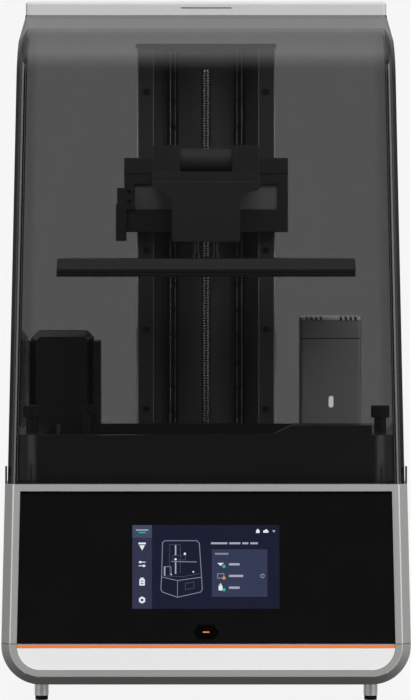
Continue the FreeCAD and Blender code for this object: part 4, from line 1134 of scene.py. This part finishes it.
# A tray over a drop.
tile("white", bar_u, tray_v + 2.6, 5.4, 1.3, layer=2)
tile("white", bar_u, tray_v, 4.8, 5.0, sides=3, turn=180, layer=2)
# Two sliders, pushed opposite ways.
for side in (-1, 1):
    tile("white", bar_u, slider_v - side * 1.35, 5.0, 0.6, layer=2)
    dot("white", bar_u + side * 1.3, slider_v - side * 1.35, 1.8, layer=2)
# A bottle with two lines on it.
tile("white", bar_u, bottle_v, 4.0, 4.6, layer=2)
tile("white", bar_u, bottle_v + 2.9, 2.4, 1.0, layer=2)
for side in (-1, 1):
    tile("bar", bar_u, bottle_v + side * 0.9, 2.0, 0.6, layer=3)
# A nut with its hole.
tile("white", bar_u, nut_v, 5.2, 5.2, sides=6, layer=2)
dot("bar", bar_u, nut_v, 2.0, layer=3)
print("side bar:", len(tiles), "tiles")

# %% Status signs
status_v = 26.2
lock_u, cloud_u, signal_u = 38.0, 43.9, 49.8
tile("white", lock_u, status_v - 0.4, 2.6, 1.9)
dot("white", lock_u, status_v + 0.8, 1.6)
tile("white", cloud_u, status_v - 0.5, 3.8, 1.3)
dot("white", cloud_u + 0.3, status_v + 0.3, 2.1)
dot("white", cloud_u - 1.1, status_v - 0.1, 1.5)
tile("outline", signal_u, status_v, 2.9, 2.5, sides=3, turn=180)
print("with the status signs:", len(tiles))

# %% Line drawing of a machine
left_rim, right_rim, near_corner = (-32.7, -7.3), (-3.3, -7.5), (-21.0, -10.0)
low_corner = (-21.0, -22.2)
hood_line = [left_rim, (-32.0, 17.8), (-30.2, 19.2), (-6.8, 19.2), (-5.0, 17.4), right_rim]
base_line = [left_rim, (-33.2, -16.6), (-32.0, -18.4), low_corner, (-4.0, -18.4), (-2.8, -16.6), right_rim]
screen_line = [(-15.3, -12.0), (-8.9, -11.0), (-8.9, -15.5), (-15.3, -16.6), (-15.3, -12.0)]
tower_line = [(-26.8, -5.6), (-26.8, 16.4), (-19.0, 16.4), (-19.0, -4.6)]
bottle_line = [(-30.8, -6.4), (-30.8, 0.2), (-25.8, 0.2), (-25.8, -6.2)]
arm_line = [(-24.4, 8.4), (-15.0, 8.4), (-15.0, 5.2), (-24.4, 5.2), (-24.4, 8.4)]
plate_line = [(-25.2, 4.0), (-7.2, 3.6)]
vat_line = [(-29.4, -6.6), (-17.0, -7.2), (-4.8, -4.8)]
screw_u = -22.4
bold, medium, thin = 0.55, 0.5, 0.4

draw(hood_line, "line", bold)
draw(base_line, "line", bold)
draw([left_rim, near_corner, right_rim], "line", medium)
draw([near_corner, low_corner], "line", thin)
for inner_line in (screen_line, tower_line, arm_line):
    draw(inner_line, "faint", thin)
draw(bottle_line, "line", medium)
draw([(-30.4, -6.0), (-30.4, -0.2)], "outline", 0.9)
for low, high in ((8.9, 15.4), (-4.6, 3.0)):
    draw([(screw_u, low), (screw_u, high)], "outline", 1.0)
draw(plate_line, "line", 0.6)
draw(vat_line, "faint", thin)
dot("white", -15.6, 9.6, 1.7)
dot("white", screw_u, 5.6, 1.6, layer=2)
tile("white", -9.4, -3.6, 1.4, 1.0, sides=round_sides)
tile("white", -25.6, -5.4, 1.6, 1.6, sides=3)
print("with the drawing:", len(tiles))

# %% Card with three rows
title_v = 17.3
title_bars = ((3.6, 15.6), (17.0, 25.2), (26.6, 31.0), (32.4, 38.0))
tray_row, screen_row, bottle_row = 1.9, -6.6, -15.2
rows = ((tray_row, "teal", 7.8), (screen_row, "amber", 10.4), (bottle_row, "teal", 7.8))
sign_u, lamp_u, bar_start_u, ring_u = 10.6, 13.1, 16.8, 41.4

for first, last in title_bars:
    tile("outline", (first + last) / 2, title_v, last - first, 1.4)
tile("card", 24.6, -4.5, 40.8, 34.8)
tile("line", 11.4, 9.6, 10.0, 1.4, layer=2)
for row, colour, length in rows:
    dot(colour, lamp_u, row - 1.5, 2.4, layer=4)
    tile("outline", bar_start_u + length / 2, row, length, 1.6, layer=2)
tile("white", sign_u, tray_row + 0.3, 5.4, 2.8, sides=3, turn=180, layer=2)
tile("line", sign_u + 0.1, screen_row, 5.2, 3.8, layer=2)
tile("card", sign_u + 0.1, screen_row, 4.0, 2.6, layer=3)
tile("white", sign_u, bottle_row - 0.2, 2.8, 3.6, layer=2)
tile("white", sign_u, bottle_row + 2.4, 2.2, 2.0, sides=3, layer=2)
dot("outline", ring_u, screen_row, 3.0, layer=2)
dot("card", ring_u, screen_row, 2.2, layer=3)
print("with the card:", len(tiles))

# %% Join the tiles into one picture
for made in tiles:
    made.select_set(True)
bpy.context.view_layer.objects.active = tiles[0]
bpy.ops.object.join()
display = bpy.context.object
display.name = "screen_picture"
settle(display, "machine", "screen_glass")
print("picture of", len(display.data.polygons), "faces")

# %% [markdown]
# ## The visual box
# The size of the finished machine is printed, beside the size of the imported model printed at the start.

# %% Print the visual box
low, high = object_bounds()
print("visual box", [round(v, 4) for v in high - low])
